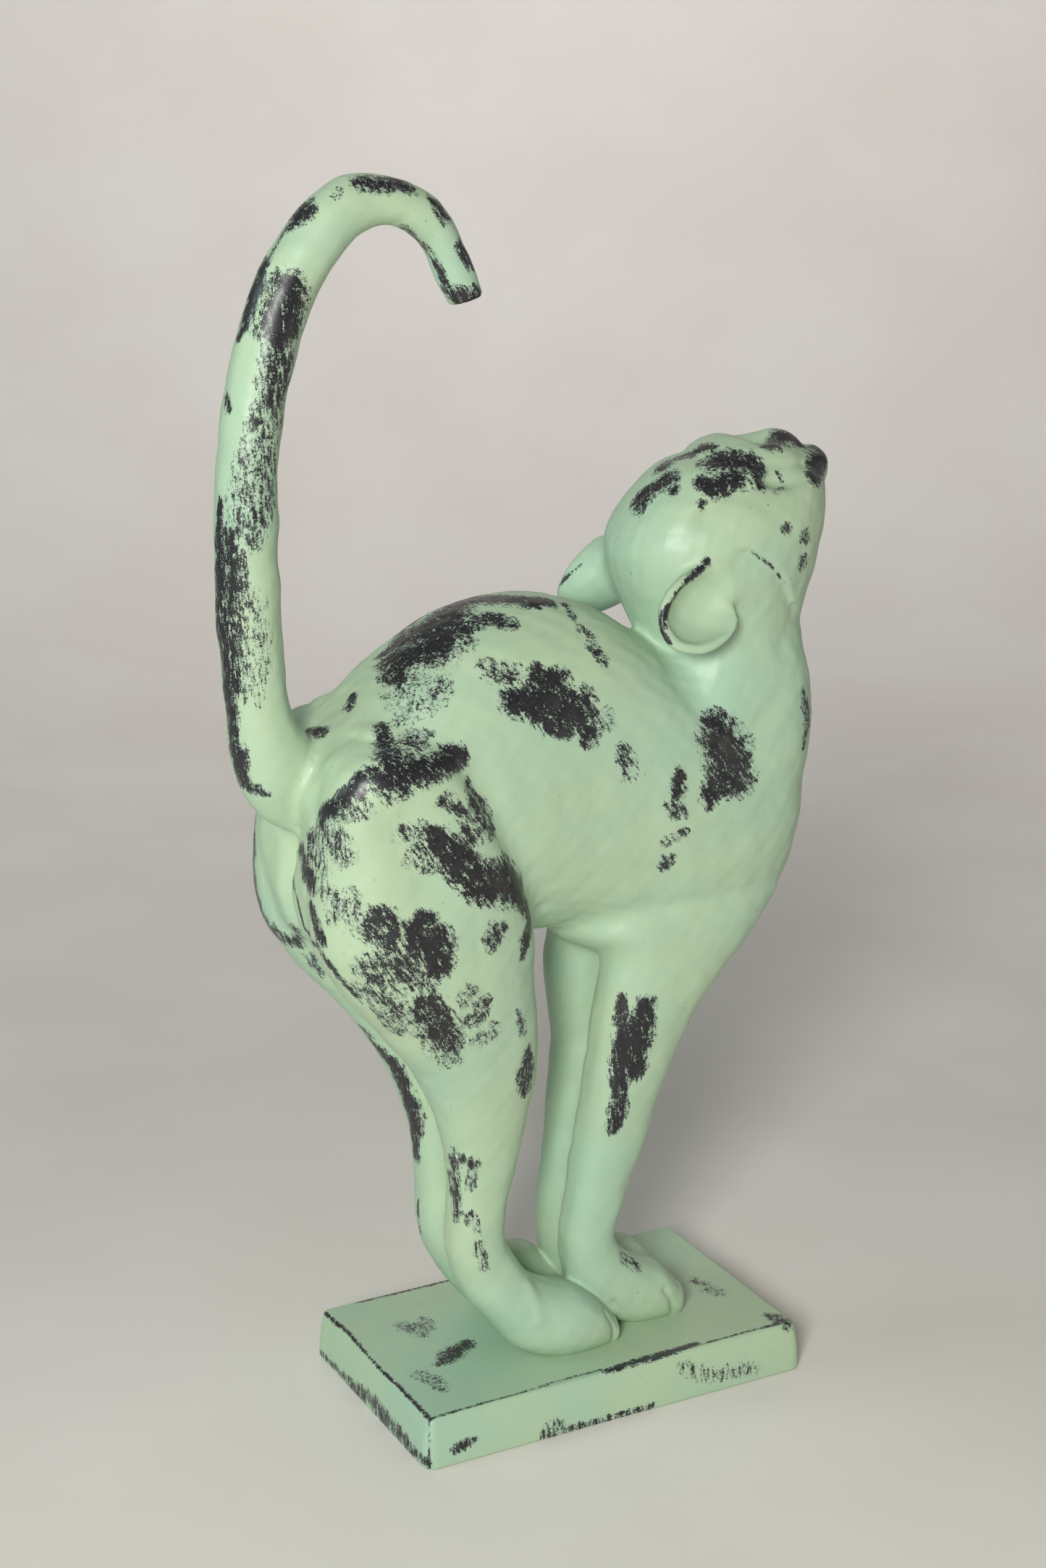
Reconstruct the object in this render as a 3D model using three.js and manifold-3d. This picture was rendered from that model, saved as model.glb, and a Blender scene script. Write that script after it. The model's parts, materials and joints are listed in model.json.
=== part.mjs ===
// A carved wooden cat, stretching with its tail hooked over its back, on a small rectangular plinth.
// Millimetres. +X is the way the cat faces, +Y its left side, +Z up; the origin is the centre of the
// plinth's underside. The cat's own outlines are given in "figure" millimetres, measured from the
// middle of the plinth's top face, and are enlarged together by FIGURE_SCALE.
import * as THREE from "three";
import { mergeVertices } from "three/addons/utils/BufferGeometryUtils.js";
import Module from "manifold-3d";

const wasm = await Module();
wasm.setup();

// ---- driving dimensions ----
const FIGURE_HEIGHT = 469.6; // plinth top to the highest point of the tail
const OUTLINE_HEIGHT = 469.6; // the same height in the outlines below
const FIGURE_SCALE = FIGURE_HEIGHT / OUTLINE_HEIGHT;

const PLINTH = { length: 170, width: 103, height: 21, flare: 2.5, edgeRound: 1.2, cornerRound: 3 };
const GLUE_GAP = 0.3; // between two glued pieces
const HOLE_GAP = 0.3; // round a dowel or a screw, and past its ends
const SPLIT_GAP = 0.3; // between the two legs of a pair

const HIP_DOWEL = { diameter: 12, length: 50 };
const SHOULDER_DOWEL = { diameter: 10, length: 44 };
const NECK_DOWEL = { diameter: 14, length: 60 };
const TAIL_DOWEL = { diameter: 8, length: 40 };
const EAR_PEG = { diameter: 5, length: 18, cover: 3 }; // cover: wood left between it and the hollow
const BASE_SCREW = { shank: 4, head: 8, headHeight: 3, recess: 1.5, bite: 13 }; // bite: depth in the foot
const EAR = { length: 39, width: 31, depth: 15, hollow: 7, wall: 3 };
const ELBOW_BACK = 9; // how much further back the left elbow is than the right one

// ---- outlines of the carved masses ----
// Each row is one oval section: the X and Z of its back or upper edge, the X and Z of its front or
// lower edge, the distance of its centre from the cat's middle plane, and half its thickness.
const TRUNK = {
  square: 2.2, sides: 24, steps: 2, startCap: 0.5, endCap: 0.5,
  rows: [
    [-116, 237, -117, 222, 0, 12],
    [-116, 250, -118, 202, 0, 26],
    [-108, 263, -109, 185, 0, 37],
    [-93, 277.5, -82, 179, 0, 42],
    [-71, 295.5, -52, 177, 0, 43],
    [-46, 308.5, -28, 177, 0, 41],
    [-18, 311.5, -6, 176, 0, 39],
    [8, 305.5, 20, 169, 0, 38],
    [28, 293, 53, 160, 0, 38],
    [42, 280, 84, 167, 0, 37],
    [52, 275, 100, 190, 0, 35],
    [58, 279, 105, 219, 0, 33.5],
    [60, 285, 109.5, 251, 0, 32],
    [62, 297, 105.5, 281, 0, 28],
  ],
};
const HEAD = {
  square: 2.2, sides: 24, steps: 2, startCap: 0.3, endCap: 0.3,
  rows: [
    [10, 249, 107, 229, 0, 30],
    [36, 277, 107.5, 259, 0, 33],
    [41, 285, 103.5, 285, 0, 30.5],
    [34, 297, 105.5, 299, 0, 31],
    [26, 313, 111, 315, 0, 34],
    [25, 329, 114, 331, 0, 35],
    [33, 343, 115, 343, 0, 32],
    [45.5, 354.5, 114, 349.5, 0, 26.5],
    [58, 359, 106, 353, 0, 20],
  ],
};
const MUZZLE = {
  square: 2.2, sides: 16, steps: 2, startCap: 0.3, endCap: 0.25,
  rows: [
    [60, 322, 84, 308, 0, 18],
    [70, 352, 112, 324, 0, 21],
    [82, 355, 115, 337, 0, 18.5],
    [94, 359, 116.5, 346, 0, 15.5],
    [103, 359.5, 116.5, 352, 0, 11.5],
  ],
};
const TAIL = {
  square: 2, sides: 14, steps: 2, startCap: 0.5, endCap: 0.08,
  rows: [
    [-119, 229, -100, 258, 0, 10],
    [-132, 244, -108, 267, 0, 13],
    [-137.5, 262, -113, 274, 0, 12.5],
    [-138.8, 283, -116.3, 289, 0, 12],
    [-141, 314, -117.6, 315, 0, 12],
    [-141, 344, -117.8, 343, 0, 12],
    [-138.7, 374, -116.8, 369.5, 0, 12],
    [-132.7, 405, -112.3, 396, 0, 12],
    [-122.7, 433, -104.5, 418.5, 0, 11.5],
    [-107.7, 455, -94.5, 436.5, 0, 11],
    [-89.5, 468.5, -83.5, 448, 0, 10],
    [-70, 468, -70, 451, 0, 9],
    [-53, 460, -59.5, 445, 0, 8.5],
    [-41.7, 443.5, -53.8, 436, 0, 7.7],
    [-34.8, 426, -46.8, 421.5, 0, 7],
  ],
};
const HIND_LEG = {
  square: 2.3, sides: 16, steps: 2, startCap: 0.3, endCap: 0.3,
  lean: 1.5, inward: 2, // how far the left foot is set forward and towards the middle
  rows: [
    [-96, 269, -80, 273, 22, 10],
    [-110, 261, -62, 264, 26, 18],
    [-115.5, 243, -48, 245, 27, 22],
    [-116.5, 225, -39, 226, 27, 23.5],
    [-118.5, 205, -31, 205, 27, 24],
    [-115, 186, -28.5, 187, 26.5, 23.5],
    [-103, 167, -28, 167, 26, 22],
    [-87.5, 148, -25.5, 149, 24.5, 20],
    [-72.5, 127, -24.5, 129, 22, 17.5],
    [-63.5, 106, -26.5, 109, 19.5, 14.5],
    [-58.8, 85, -30.5, 87, 17.5, 12.5],
    [-58, 67, -34.5, 69, 16, 12],
    [-58.5, 51, -35, 55, 15, 12],
    [-54, 35, -31.5, 45, 15.5, 12.5],
    [-43, 17, -24, 34, 17, 14],
    [-30, 3, -14, 29, 19, 15.5],
    [-15, -3, -5, 26, 20, 16.5],
    [0, -3, 4, 19, 20, 15.5],
    [10, -3, 12, 10, 20, 11.5],
  ],
};
const FORELEG = {
  square: 2.3, sides: 16, steps: 2, startCap: 0.3, endCap: 0.35,
  lean: 2, inward: 1,
  rows: [
    [20, 195, 94, 209, 16, 14],
    [16, 175, 91, 185, 16.5, 16],
    [11, 157, 77, 165, 16.5, 16],
    [8, 139, 59, 145, 16, 15],
    [6, 121, 48, 127, 15, 14],
    [3, 99, 38.5, 105, 14, 13],
    [0, 77, 31.5, 82, 13, 11.5],
    [-3, 57, 24, 62, 12.5, 11],
    [-4.5, 41, 18.5, 47, 12, 11],
    [-3, 25, 19, 37, 12, 11.5],
    [6, 9, 26, 29, 12, 12.5],
    [22, -1, 33, 25, 12, 13.5],
    [35, -3, 41, 21, 12, 13.5],
    [46, -3, 48, 13, 12, 11],
  ],
};
const LEG_TOP = 180; // from here down to the plinth the left leg comes forward and inwards
const ELBOW = { low: 119, high: 159, front: 40, back: 10 }; // where the left elbow is set further back

// ---- joint planes, in figure millimetres: a point on the glued face and the way it faces ----
const TAIL_FACE = { at: [-118.5, 0, 257.5], facing: [-32, 0, 19] };
const NECK_FACE = { at: [40, 0, 279.5], facing: [0.17, 0, 1] };
const NAPE_FACE = { at: [38, 0, 279.5], facing: [28, 0, 20] };
const HIP_FACE = { at: [-20, 0, 175.5], facing: [-54, 0, -105] };
const SHOULDER_FACE = { at: [0, 0, 175.5], facing: [0.185, 0, -1] };
const PAW_FACE = { at: [20, 16, 0], facing: [0.575, -0.599, 0.557] }; // left side; towards the forepaw
const FORELEG_FROM = -17; // nothing behind this X belongs to a foreleg

// ---- where the dowels and screws are, in figure millimetres ----
const HIP_DOWEL_AT = [-72, 27, 202.2];
const SHOULDER_DOWEL_AT = [48, 16, 184.4];
const NECK_DOWEL_AT = [76, 0, 273.4];
const TAIL_DOWEL_AT = [-117, 0, 259];
const TAIL_DOWEL_ALONG = [-0.5, 0, 0.866];
const EAR_RIGHT_AT = [41.5, -38, 306];
const EAR_LEFT_AT = [37, 39.5, 307];
const EAR_LONG_AXIS = [0.86, 0, 0.5];
const EAR_FACING = [-0.22, 0.93, 0.25];
const HIND_SCREW_AT = { x: -8, y: 20 };
const FORE_SCREW_AT = { x: 35, y: 12 };

// ---- finishes ----
const paint = new THREE.MeshStandardMaterial({ color: 0x9ec7a4, roughness: 0.5, metalness: 0 });
const beech = new THREE.MeshStandardMaterial({ color: 0xd2b48c, roughness: 0.7, metalness: 0 });
const steel = new THREE.MeshStandardMaterial({ color: 0xa8a8a6, roughness: 0.4, metalness: 0.9 });

// ---- small tools ----
// A point of the figure in the part's own frame.
function place([x, y, z]) {
  return new THREE.Vector3(x, y, z).multiplyScalar(FIGURE_SCALE).add(new THREE.Vector3(0, 0, PLINTH.height));
}

const RIGHT = -1;
const LEFT = 1;
const sides = [["right", RIGHT], ["left", LEFT]];

// The same place on the cat's left (side 1) or right (side -1).
const onSide = ([x, y, z], side) => [x, side * y, z];

// Six times the volume that the triangles enclose, negative when they face inwards.
function signedVolume(positions, index) {
  const [a, b, c] = [new THREE.Vector3(), new THREE.Vector3(), new THREE.Vector3()];
  let total = 0;
  for (let i = 0; i < index.length; i += 3) {
    a.fromArray(positions, 3 * index[i]);
    b.fromArray(positions, 3 * index[i + 1]);
    c.fromArray(positions, 3 * index[i + 2]);
    total += a.dot(b.cross(c));
  }
  return total;
}

// A closed surface through rings of equal length, with a pole at each end.
function skin(rings, firstPole, lastPole) {
  const sides = rings[0].length;
  const positions = [...rings.flat(), firstPole, lastPole].flatMap((p) => p.toArray());
  const first = rings.length * sides;
  const last = first + 1;
  const end = first - sides;
  const index = [];
  for (let j = 0; j < sides; j++) {
    const k = (j + 1) % sides;
    for (let i = 0; i < rings.length - 1; i++) {
      const here = i * sides;
      index.push(here + j, here + k, here + sides + k);
      index.push(here + j, here + sides + k, here + sides + j);
    }
    index.push(first, k, j, last, end + j, end + k);
  }
  if (signedVolume(positions, index) < 0) index.reverse();
  const geometry = new THREE.BufferGeometry();
  geometry.setAttribute("position", new THREE.Float32BufferAttribute(positions, 3));
  geometry.setIndex(index);
  return geometry;
}

// One oval section: an ellipse squared off a little, shrunk and moved along for the rounded ends.
function section(row, side, mass, grow, shrink = 1, along = new THREE.Vector3()) {
  const [backX, backZ, frontX, frontZ, offset, halfWidth] = row;
  const centre = new THREE.Vector3((backX + frontX) / 2, side * offset, (backZ + frontZ) / 2);
  const half = new THREE.Vector3((backX - frontX) / 2, 0, (backZ - frontZ) / 2);
  half.setLength(half.length() + grow);
  const points = [];
  for (let i = 0; i < mass.sides; i++) {
    const turn = (2 * Math.PI * i) / mass.sides;
    const [c, s] = [Math.cos(turn), Math.sin(turn)];
    const deep = Math.sign(c) * Math.abs(c) ** (2 / mass.square);
    const wide = Math.sign(s) * Math.abs(s) ** (2 / mass.square);
    const point = centre.clone().add(along);
    point.addScaledVector(half, shrink * deep);
    point.y += shrink * wide * (halfWidth + grow);
    points.push(point);
  }
  return points;
}

// The rows of a mass with extra ones between them on a smooth curve.
function smoothRows(mass) {
  const column = (a, b) => new THREE.SplineCurve(mass.rows.map((row) => new THREE.Vector2(row[a], row[b])));
  const spans = (mass.rows.length - 1) * mass.steps;
  const columns = [column(0, 1), column(2, 3), column(4, 5)].map((curve) => curve.getPoints(spans));
  return columns[0].map((_, i) => columns.flatMap((points) => points[i].toArray()));
}

// A carved mass: oval sections along smooth outlines, with rounded ends.
function carvedMass(mass, side = 0, grow = 0) {
  const rows = smoothRows(mass);
  const centreOf = ([bx, bz, fx, fz, y]) => new THREE.Vector3((bx + fx) / 2, side * y, (bz + fz) / 2);
  const capRings = (row, next, amount) => {
    const along = centreOf(row).sub(centreOf(next)).normalize();
    const halfDepth = Math.hypot(row[0] - row[2], row[1] - row[3]) / 2;
    const length = 2 * amount * Math.min(halfDepth, row[5]) + grow;
    const rings = [0.45, 0.8].map((share) =>
      section(row, side, mass, grow, Math.sqrt(1 - share ** 2), along.clone().multiplyScalar(share * length)),
    );
    return { rings, pole: centreOf(row).addScaledVector(along, length) };
  };
  const start = capRings(rows[0], rows[1], mass.startCap);
  const end = capRings(rows.at(-1), rows.at(-2), mass.endCap);
  const body = rows.map((row) => section(row, side, mass, grow));
  return skin([...start.rings.reverse(), ...body, ...end.rings], start.pole, end.pole);
}

// The left leg of a pair isn't quite the right one's mirror image: its foot comes forward and inwards.
function setLeft(geometry, mass, elbowBack = 0) {
  const at = geometry.getAttribute("position");
  const clamp = (value) => THREE.MathUtils.clamp(value, 0, 1);
  for (let i = 0; i < at.count; i++) {
    const low = clamp((LEG_TOP - at.getZ(i)) / LEG_TOP);
    const nearElbow = clamp((at.getZ(i) - ELBOW.low) / (ELBOW.high - ELBOW.low));
    const atBack = clamp((ELBOW.front - at.getX(i)) / (ELBOW.front - ELBOW.back));
    at.setX(i, at.getX(i) + mass.lean * low - elbowBack * nearElbow * atBack);
    at.setY(i, at.getY(i) - mass.inward * low);
  }
  return geometry;
}

// Figure millimetres to the part's frame.
function atScale(geometry) {
  return geometry.scale(FIGURE_SCALE, FIGURE_SCALE, FIGURE_SCALE).translate(0, 0, PLINTH.height);
}

// A closed three.js geometry as a solid that can be joined and cut.
function toSolid(geometry) {
  const bare = geometry.clone();
  bare.deleteAttribute("normal");
  bare.deleteAttribute("uv");
  const merged = mergeVertices(bare, 1e-4);
  return new wasm.Manifold(
    new wasm.Mesh({
      numProp: 3,
      vertProperties: merged.getAttribute("position").array,
      triVerts: new Uint32Array(merged.index.array),
    }),
  );
}

// A solid back as a named mesh.
function toMesh(name, solid, material) {
  const made = solid.getMesh();
  const geometry = new THREE.BufferGeometry();
  geometry.setAttribute("position", new THREE.BufferAttribute(made.vertProperties, 3));
  geometry.setIndex(new THREE.BufferAttribute(made.triVerts, 1));
  const flat = geometry.toNonIndexed();
  flat.computeVertexNormals();
  const mesh = new THREE.Mesh(flat, material);
  mesh.name = name;
  return mesh;
}

// Everything on the side that a joint face looks to, beyond a gap.
function beyond(face, gap) {
  const size = 4 * (FIGURE_HEIGHT + PLINTH.length);
  const facing = new THREE.Vector3(...face.facing).normalize();
  const box = new THREE.BoxGeometry(size, size, size);
  box.applyQuaternion(new THREE.Quaternion().setFromUnitVectors(new THREE.Vector3(0, 0, 1), facing));
  const middle = place(face.at).addScaledVector(facing, size / 2 + gap);
  box.translate(middle.x, middle.y, middle.z);
  return toSolid(box);
}

// A round bar between two points of the part's frame, lengthened by `extra` at both ends.
function bar(from, to, diameter, extra = 0) {
  const along = to.clone().sub(from);
  const cylinder = new THREE.CylinderGeometry(diameter / 2, diameter / 2, along.length() + 2 * extra, 12);
  const turn = new THREE.Quaternion().setFromUnitVectors(new THREE.Vector3(0, 1, 0), along.normalize());
  cylinder.applyQuaternion(turn);
  const middle = from.clone().add(to).multiplyScalar(0.5);
  cylinder.translate(middle.x, middle.y, middle.z);
  return toSolid(cylinder);
}

// A dowel across a joint face, and the hole for it.
function dowel(size, at, along) {
  const half = new THREE.Vector3(...along).normalize().multiplyScalar(size.length / 2);
  const [from, to] = [place(at).sub(half), place(at).add(half)];
  return {
    piece: bar(from, to, size.diameter),
    hole: bar(from, to, size.diameter + 2 * HOLE_GAP, HOLE_GAP),
  };
}

// ---- the plinth ----
// A rounded rectangle of the given half sizes at one height.
function plinthRing(halfLength, halfWidth, corner, height) {
  const points = [];
  const corners = [[1, 1], [-1, 1], [-1, -1], [1, -1]];
  corners.forEach(([signX, signY], quarter) => {
    for (let step = 0; step <= 3; step++) {
      const turn = (Math.PI / 2) * (quarter + step / 3);
      const x = signX * (halfLength - corner) + corner * Math.cos(turn);
      const y = signY * (halfWidth - corner) + corner * Math.sin(turn);
      points.push(new THREE.Vector3(x, y, height));
    }
  });
  return points;
}

// A planed board whose sides swell a little towards the bottom, with its edges eased.
function plinthSolid() {
  const { length, width, height, flare, edgeRound, cornerRound } = PLINTH;
  const levels = [
    { height: 0, out: flare - edgeRound },
    { height: edgeRound, out: flare },
    { height: height / 2, out: 0.85 * flare },
    { height: height - edgeRound, out: 0 },
    { height, out: -edgeRound },
  ];
  const rings = levels.map((level) =>
    plinthRing(length / 2 + level.out, width / 2 + level.out, cornerRound, level.height),
  );
  return toSolid(skin(rings, new THREE.Vector3(), new THREE.Vector3(0, 0, height)));
}

// ---- base screws ----
// A countersunk screw standing point up, grown by `gap` all over for its hole.
function screwSolid(at, gap = 0) {
  const { shank, head, headHeight, recess, bite } = BASE_SCREW;
  const tip = PLINTH.height + bite;
  const bottom = gap ? -1 : recess;
  const profile = [
    [0, bottom],
    [head / 2 + gap, bottom],
    [head / 2 + gap, recess + 0.6],
    [shank / 2 + gap, recess + headHeight],
    [shank / 2 + gap, tip - shank + gap],
    [0, tip + gap],
  ];
  const lathe = new THREE.LatheGeometry(profile.map(([r, h]) => new THREE.Vector2(r, h)), 12);
  lathe.rotateX(Math.PI / 2);
  lathe.translate(at.x * FIGURE_SCALE, at.y * FIGURE_SCALE, 0);
  return toSolid(lathe);
}

// ---- ears ----
// An ear's centre, and the directions along, across and out of its bowl.
function earFrame(side) {
  const long = new THREE.Vector3(...EAR_LONG_AXIS).normalize();
  const facing = new THREE.Vector3(...onSide(EAR_FACING, side));
  facing.addScaledVector(long, -facing.dot(long)).normalize();
  const centre = side === LEFT ? EAR_LEFT_AT : EAR_RIGHT_AT;
  return { centre, long, short: facing.clone().cross(long), facing };
}

// A shallow spoon: an oval bowl, rounded outside, hollowed inside.
function earSolid(side) {
  const inner = { rim: 1 - (4 * EAR.wall) / (EAR.length + EAR.width), depth: EAR.hollow / EAR.depth };
  const quarter = [0.2, 0.4, 0.6, 0.8, 1].map((share) => (share * Math.PI) / 2);
  const outside = quarter.map((turn) => [Math.sin(turn), -Math.cos(turn)]);
  const inside = quarter.map((turn) => [inner.rim * Math.sin(turn), -inner.depth * Math.cos(turn)]).reverse();
  const { centre, long, short, facing } = earFrame(side);
  const at = (out, up, turn) =>
    new THREE.Vector3(...centre)
      .addScaledVector(long, (EAR.length / 2) * out * Math.cos(turn))
      .addScaledVector(short, (EAR.width / 2) * out * Math.sin(turn))
      .addScaledVector(facing, EAR.depth * up);
  const turns = Array.from({ length: 20 }, (_, i) => (i * Math.PI) / 10);
  const rings = [...outside, ...inside].map(([out, up]) => turns.map((turn) => at(out, up, turn)));
  return toSolid(atScale(skin(rings, at(0, -1, 0), at(0, -inner.depth, 0))));
}

// The ear's peg, from under the bowl's hollow back into the head, and its hole.
function earPeg(side) {
  const { centre, facing } = earFrame(side);
  const inEar = EAR.hollow * FIGURE_SCALE + EAR_PEG.cover;
  const tip = place(centre).addScaledVector(facing, -inEar);
  const root = tip.clone().addScaledVector(facing, -EAR_PEG.length);
  return {
    piece: bar(root, tip, EAR_PEG.diameter),
    hole: bar(root, tip, EAR_PEG.diameter + 2 * HOLE_GAP, HOLE_GAP),
  };
}

// ---- the whole figure, then its pieces ----
function legSolid(mass, side, elbowBack = 0) {
  const geometry = carvedMass(mass, side);
  return toSolid(atScale(side === LEFT ? setLeft(geometry, mass, elbowBack) : geometry));
}

function build() {
  const group = new THREE.Group();
  const add = (name, solid, material = paint) => group.add(toMesh(name, solid, material));
  const mass = (outline, grow = 0) => toSolid(atScale(carvedMass(outline, 0, grow)));

  const trunkMass = mass(TRUNK);
  const tailMass = mass(TAIL);
  const headMass = mass(HEAD).add(mass(MUZZLE));
  const hind = Object.fromEntries(sides.map(([name, side]) => [name, legSolid(HIND_LEG, side)]));
  const fore = Object.fromEntries(
    sides.map(([name, side]) => [name, legSolid(FORELEG, side, ELBOW_BACK)]),
  );
  const wholeBody = [headMass, tailMass, ...Object.values(hind), ...Object.values(fore)]
    .reduce((sum, solid) => sum.add(solid), trunkMass);

  const halfOf = (side) => beyond({ at: [0, 0, 0], facing: [0, side, 0] }, SPLIT_GAP / 2);
  const forelegSide = (side, gap) =>
    beyond({ at: onSide(PAW_FACE.at, side), facing: onSide(PAW_FACE.facing, side) }, gap)
      .intersect(beyond({ at: [FORELEG_FROM, 0, 0], facing: [1, 0, 0] }, gap));
  const abovePlinth = beyond({ at: [0, 0, 0], facing: [0, 0, 1] }, GLUE_GAP);
  const half = GLUE_GAP / 2;

  const dowels = {
    tail_dowel: dowel(TAIL_DOWEL, TAIL_DOWEL_AT, TAIL_DOWEL_ALONG),
    neck_dowel: dowel(NECK_DOWEL, NECK_DOWEL_AT, NECK_FACE.facing),
  };
  const screws = [];
  for (const [name, side] of sides) {
    dowels[`hip_dowel_${name}`] = dowel(HIP_DOWEL, onSide(HIP_DOWEL_AT, side), HIP_FACE.facing);
    dowels[`shoulder_dowel_${name}`] =
      dowel(SHOULDER_DOWEL, onSide(SHOULDER_DOWEL_AT, side), SHOULDER_FACE.facing);
    dowels[`ear_peg_${name}`] = earPeg(side);
    screws.push([`base_screw_hind_${name}`, { x: HIND_SCREW_AT.x, y: side * HIND_SCREW_AT.y }]);
    screws.push([`base_screw_fore_${name}`, { x: FORE_SCREW_AT.x, y: side * FORE_SCREW_AT.y }]);
  }
  const holes = [
    ...Object.values(dowels).map((entry) => entry.hole),
    ...screws.map(([, at]) => screwSolid(at, HOLE_GAP)),
  ];
  const drilled = (solid) => holes.reduce((left, hole) => left.subtract(hole), solid);

  const headRegion = beyond(NECK_FACE, half).intersect(beyond(NAPE_FACE, half));
  const headAndGap = beyond(NECK_FACE, -half).intersect(beyond(NAPE_FACE, -half));
  const trunk = wholeBody
    .subtract(beyond(TAIL_FACE, -half))
    .subtract(headAndGap)
    .subtract(beyond(HIP_FACE, -half))
    .subtract(beyond(SHOULDER_FACE, -half));
  const head = trunkMass.add(headMass).intersect(headRegion);

  add("plinth", drilled(plinthSolid()));
  add("trunk", drilled(trunk));
  add("head", drilled(head));
  add("tail", drilled(wholeBody.intersect(beyond(TAIL_FACE, half))));
  const headGrown = mass(HEAD, GLUE_GAP / FIGURE_SCALE);
  for (const [name, side] of sides) {
    const limbs = trunkMass.add(hind[name]).add(fore[name]).intersect(halfOf(side)).intersect(abovePlinth);
    const hindLeg = limbs.intersect(beyond(HIP_FACE, half)).subtract(forelegSide(side, -half));
    const foreleg = limbs.intersect(beyond(SHOULDER_FACE, half)).intersect(forelegSide(side, half));
    add(`ear_${name}`, drilled(earSolid(side).subtract(headGrown)));
    add(`hind_leg_${name}`, drilled(hindLeg));
    add(`foreleg_${name}`, drilled(foreleg));
  }
  Object.entries(dowels).forEach(([name, entry]) => add(name, entry.piece, beech));
  screws.forEach(([name, at]) => add(name, screwSolid(at), steel));
  return group;
}

export default build();
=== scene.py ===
"""A carved wooden cat, stretching, with its tail hooked over its back, on a small plinth.

The cat is shaped the way its carver shaped it: plain masses are roughed out, joined so that one
flows into the next, and hollowed at the eyes, ears and mouth. The figure is then parted at its
glued faces, drilled for its dowels, and painted mint green over black, with the black rubbed
through. Shaping is done in figure millimetres, from the middle of the plinth's top.
"""

import json
import math

import bpy
import numpy as np
import openvdb as vdb
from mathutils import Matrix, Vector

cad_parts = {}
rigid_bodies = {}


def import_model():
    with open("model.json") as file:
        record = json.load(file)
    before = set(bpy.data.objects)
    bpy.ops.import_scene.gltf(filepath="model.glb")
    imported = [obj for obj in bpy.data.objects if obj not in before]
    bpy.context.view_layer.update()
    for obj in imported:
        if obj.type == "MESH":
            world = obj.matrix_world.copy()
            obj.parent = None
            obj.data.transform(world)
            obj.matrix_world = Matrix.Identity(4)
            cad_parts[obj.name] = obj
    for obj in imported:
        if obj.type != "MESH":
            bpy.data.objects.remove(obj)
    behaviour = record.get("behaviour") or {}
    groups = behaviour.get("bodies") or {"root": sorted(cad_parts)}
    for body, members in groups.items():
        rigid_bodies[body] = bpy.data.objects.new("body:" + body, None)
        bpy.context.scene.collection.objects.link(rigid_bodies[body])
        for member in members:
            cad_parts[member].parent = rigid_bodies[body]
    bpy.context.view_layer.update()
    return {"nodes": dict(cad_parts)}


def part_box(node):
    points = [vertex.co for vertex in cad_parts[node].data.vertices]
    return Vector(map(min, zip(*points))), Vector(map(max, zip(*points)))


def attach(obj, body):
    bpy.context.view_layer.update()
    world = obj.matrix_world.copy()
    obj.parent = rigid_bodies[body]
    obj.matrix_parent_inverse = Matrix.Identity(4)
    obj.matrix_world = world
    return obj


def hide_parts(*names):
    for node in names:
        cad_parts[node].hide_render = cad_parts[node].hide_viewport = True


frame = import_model()

# ------------------------------------------------------------------ outlines of the carved masses
# Each row is one oval section: X and Z of its back or upper edge, X and Z of its front or lower
# edge, the distance of its centre from the middle plane, and half its thickness.
TRUNK = [
    [-116, 237, -117, 222, 0, 12],
    [-116, 250, -118, 202, 0, 26],
    [-108, 263, -109, 185, 0, 37],
    [-93, 277.5, -82, 179, 0, 42],
    [-71, 295.5, -52, 177, 0, 43],
    [-46, 308.5, -28, 177, 0, 41],
    [-18, 311.5, -6, 176, 0, 39],
    [8, 305.5, 20, 169, 0, 38],
    [28, 293, 53, 160, 0, 38],
    [42, 280, 84, 167, 0, 37],
    [52, 275, 100, 190, 0, 35],
    [58, 279, 105, 219, 0, 33.5],
    [60, 285, 109.5, 251, 0, 32],
    [62, 297, 105.5, 281, 0, 28],
]
HEAD = [
    [10, 249, 107, 229, 0, 30],
    [36, 277, 107.5, 259, 0, 33],
    [41, 285, 103.5, 285, 0, 30.5],
    [34, 297, 105.5, 299, 0, 31],
    [26, 313, 111, 315, 0, 34],
    [25, 329, 114, 331, 0, 35],
    [33, 343, 115, 343, 0, 32],
    [45.5, 354.5, 114, 349.5, 0, 26.5],
    [58, 359, 106, 353, 0, 20],
]
MUZZLE = [
    [60, 322, 84, 308, 0, 18],
    [70, 352, 112, 324, 0, 21],
    [82, 355, 115, 337, 0, 18.5],
    [94, 359, 116.5, 346, 0, 15.5],
    [103, 359.5, 116.5, 352, 0, 11.5],
]
TAIL = [
    [-119, 229, -100, 258, 0, 10],
    [-132, 244, -108, 267, 0, 13],
    [-137.5, 262, -113, 274, 0, 12.5],
    [-138.8, 283, -116.3, 289, 0, 12],
    [-141, 314, -117.6, 315, 0, 12],
    [-141, 344, -117.8, 343, 0, 12],
    [-138.7, 374, -116.8, 369.5, 0, 12],
    [-132.7, 405, -112.3, 396, 0, 12],
    [-122.7, 433, -104.5, 418.5, 0, 11.5],
    [-107.7, 455, -94.5, 436.5, 0, 11],
    [-89.5, 468.5, -83.5, 448, 0, 10],
    [-70, 468, -70, 451, 0, 9],
    [-53, 460, -59.5, 445, 0, 8.5],
    [-41.7, 443.5, -53.8, 436, 0, 7.7],
    [-34.8, 426, -46.8, 421.5, 0, 7],
]
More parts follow.
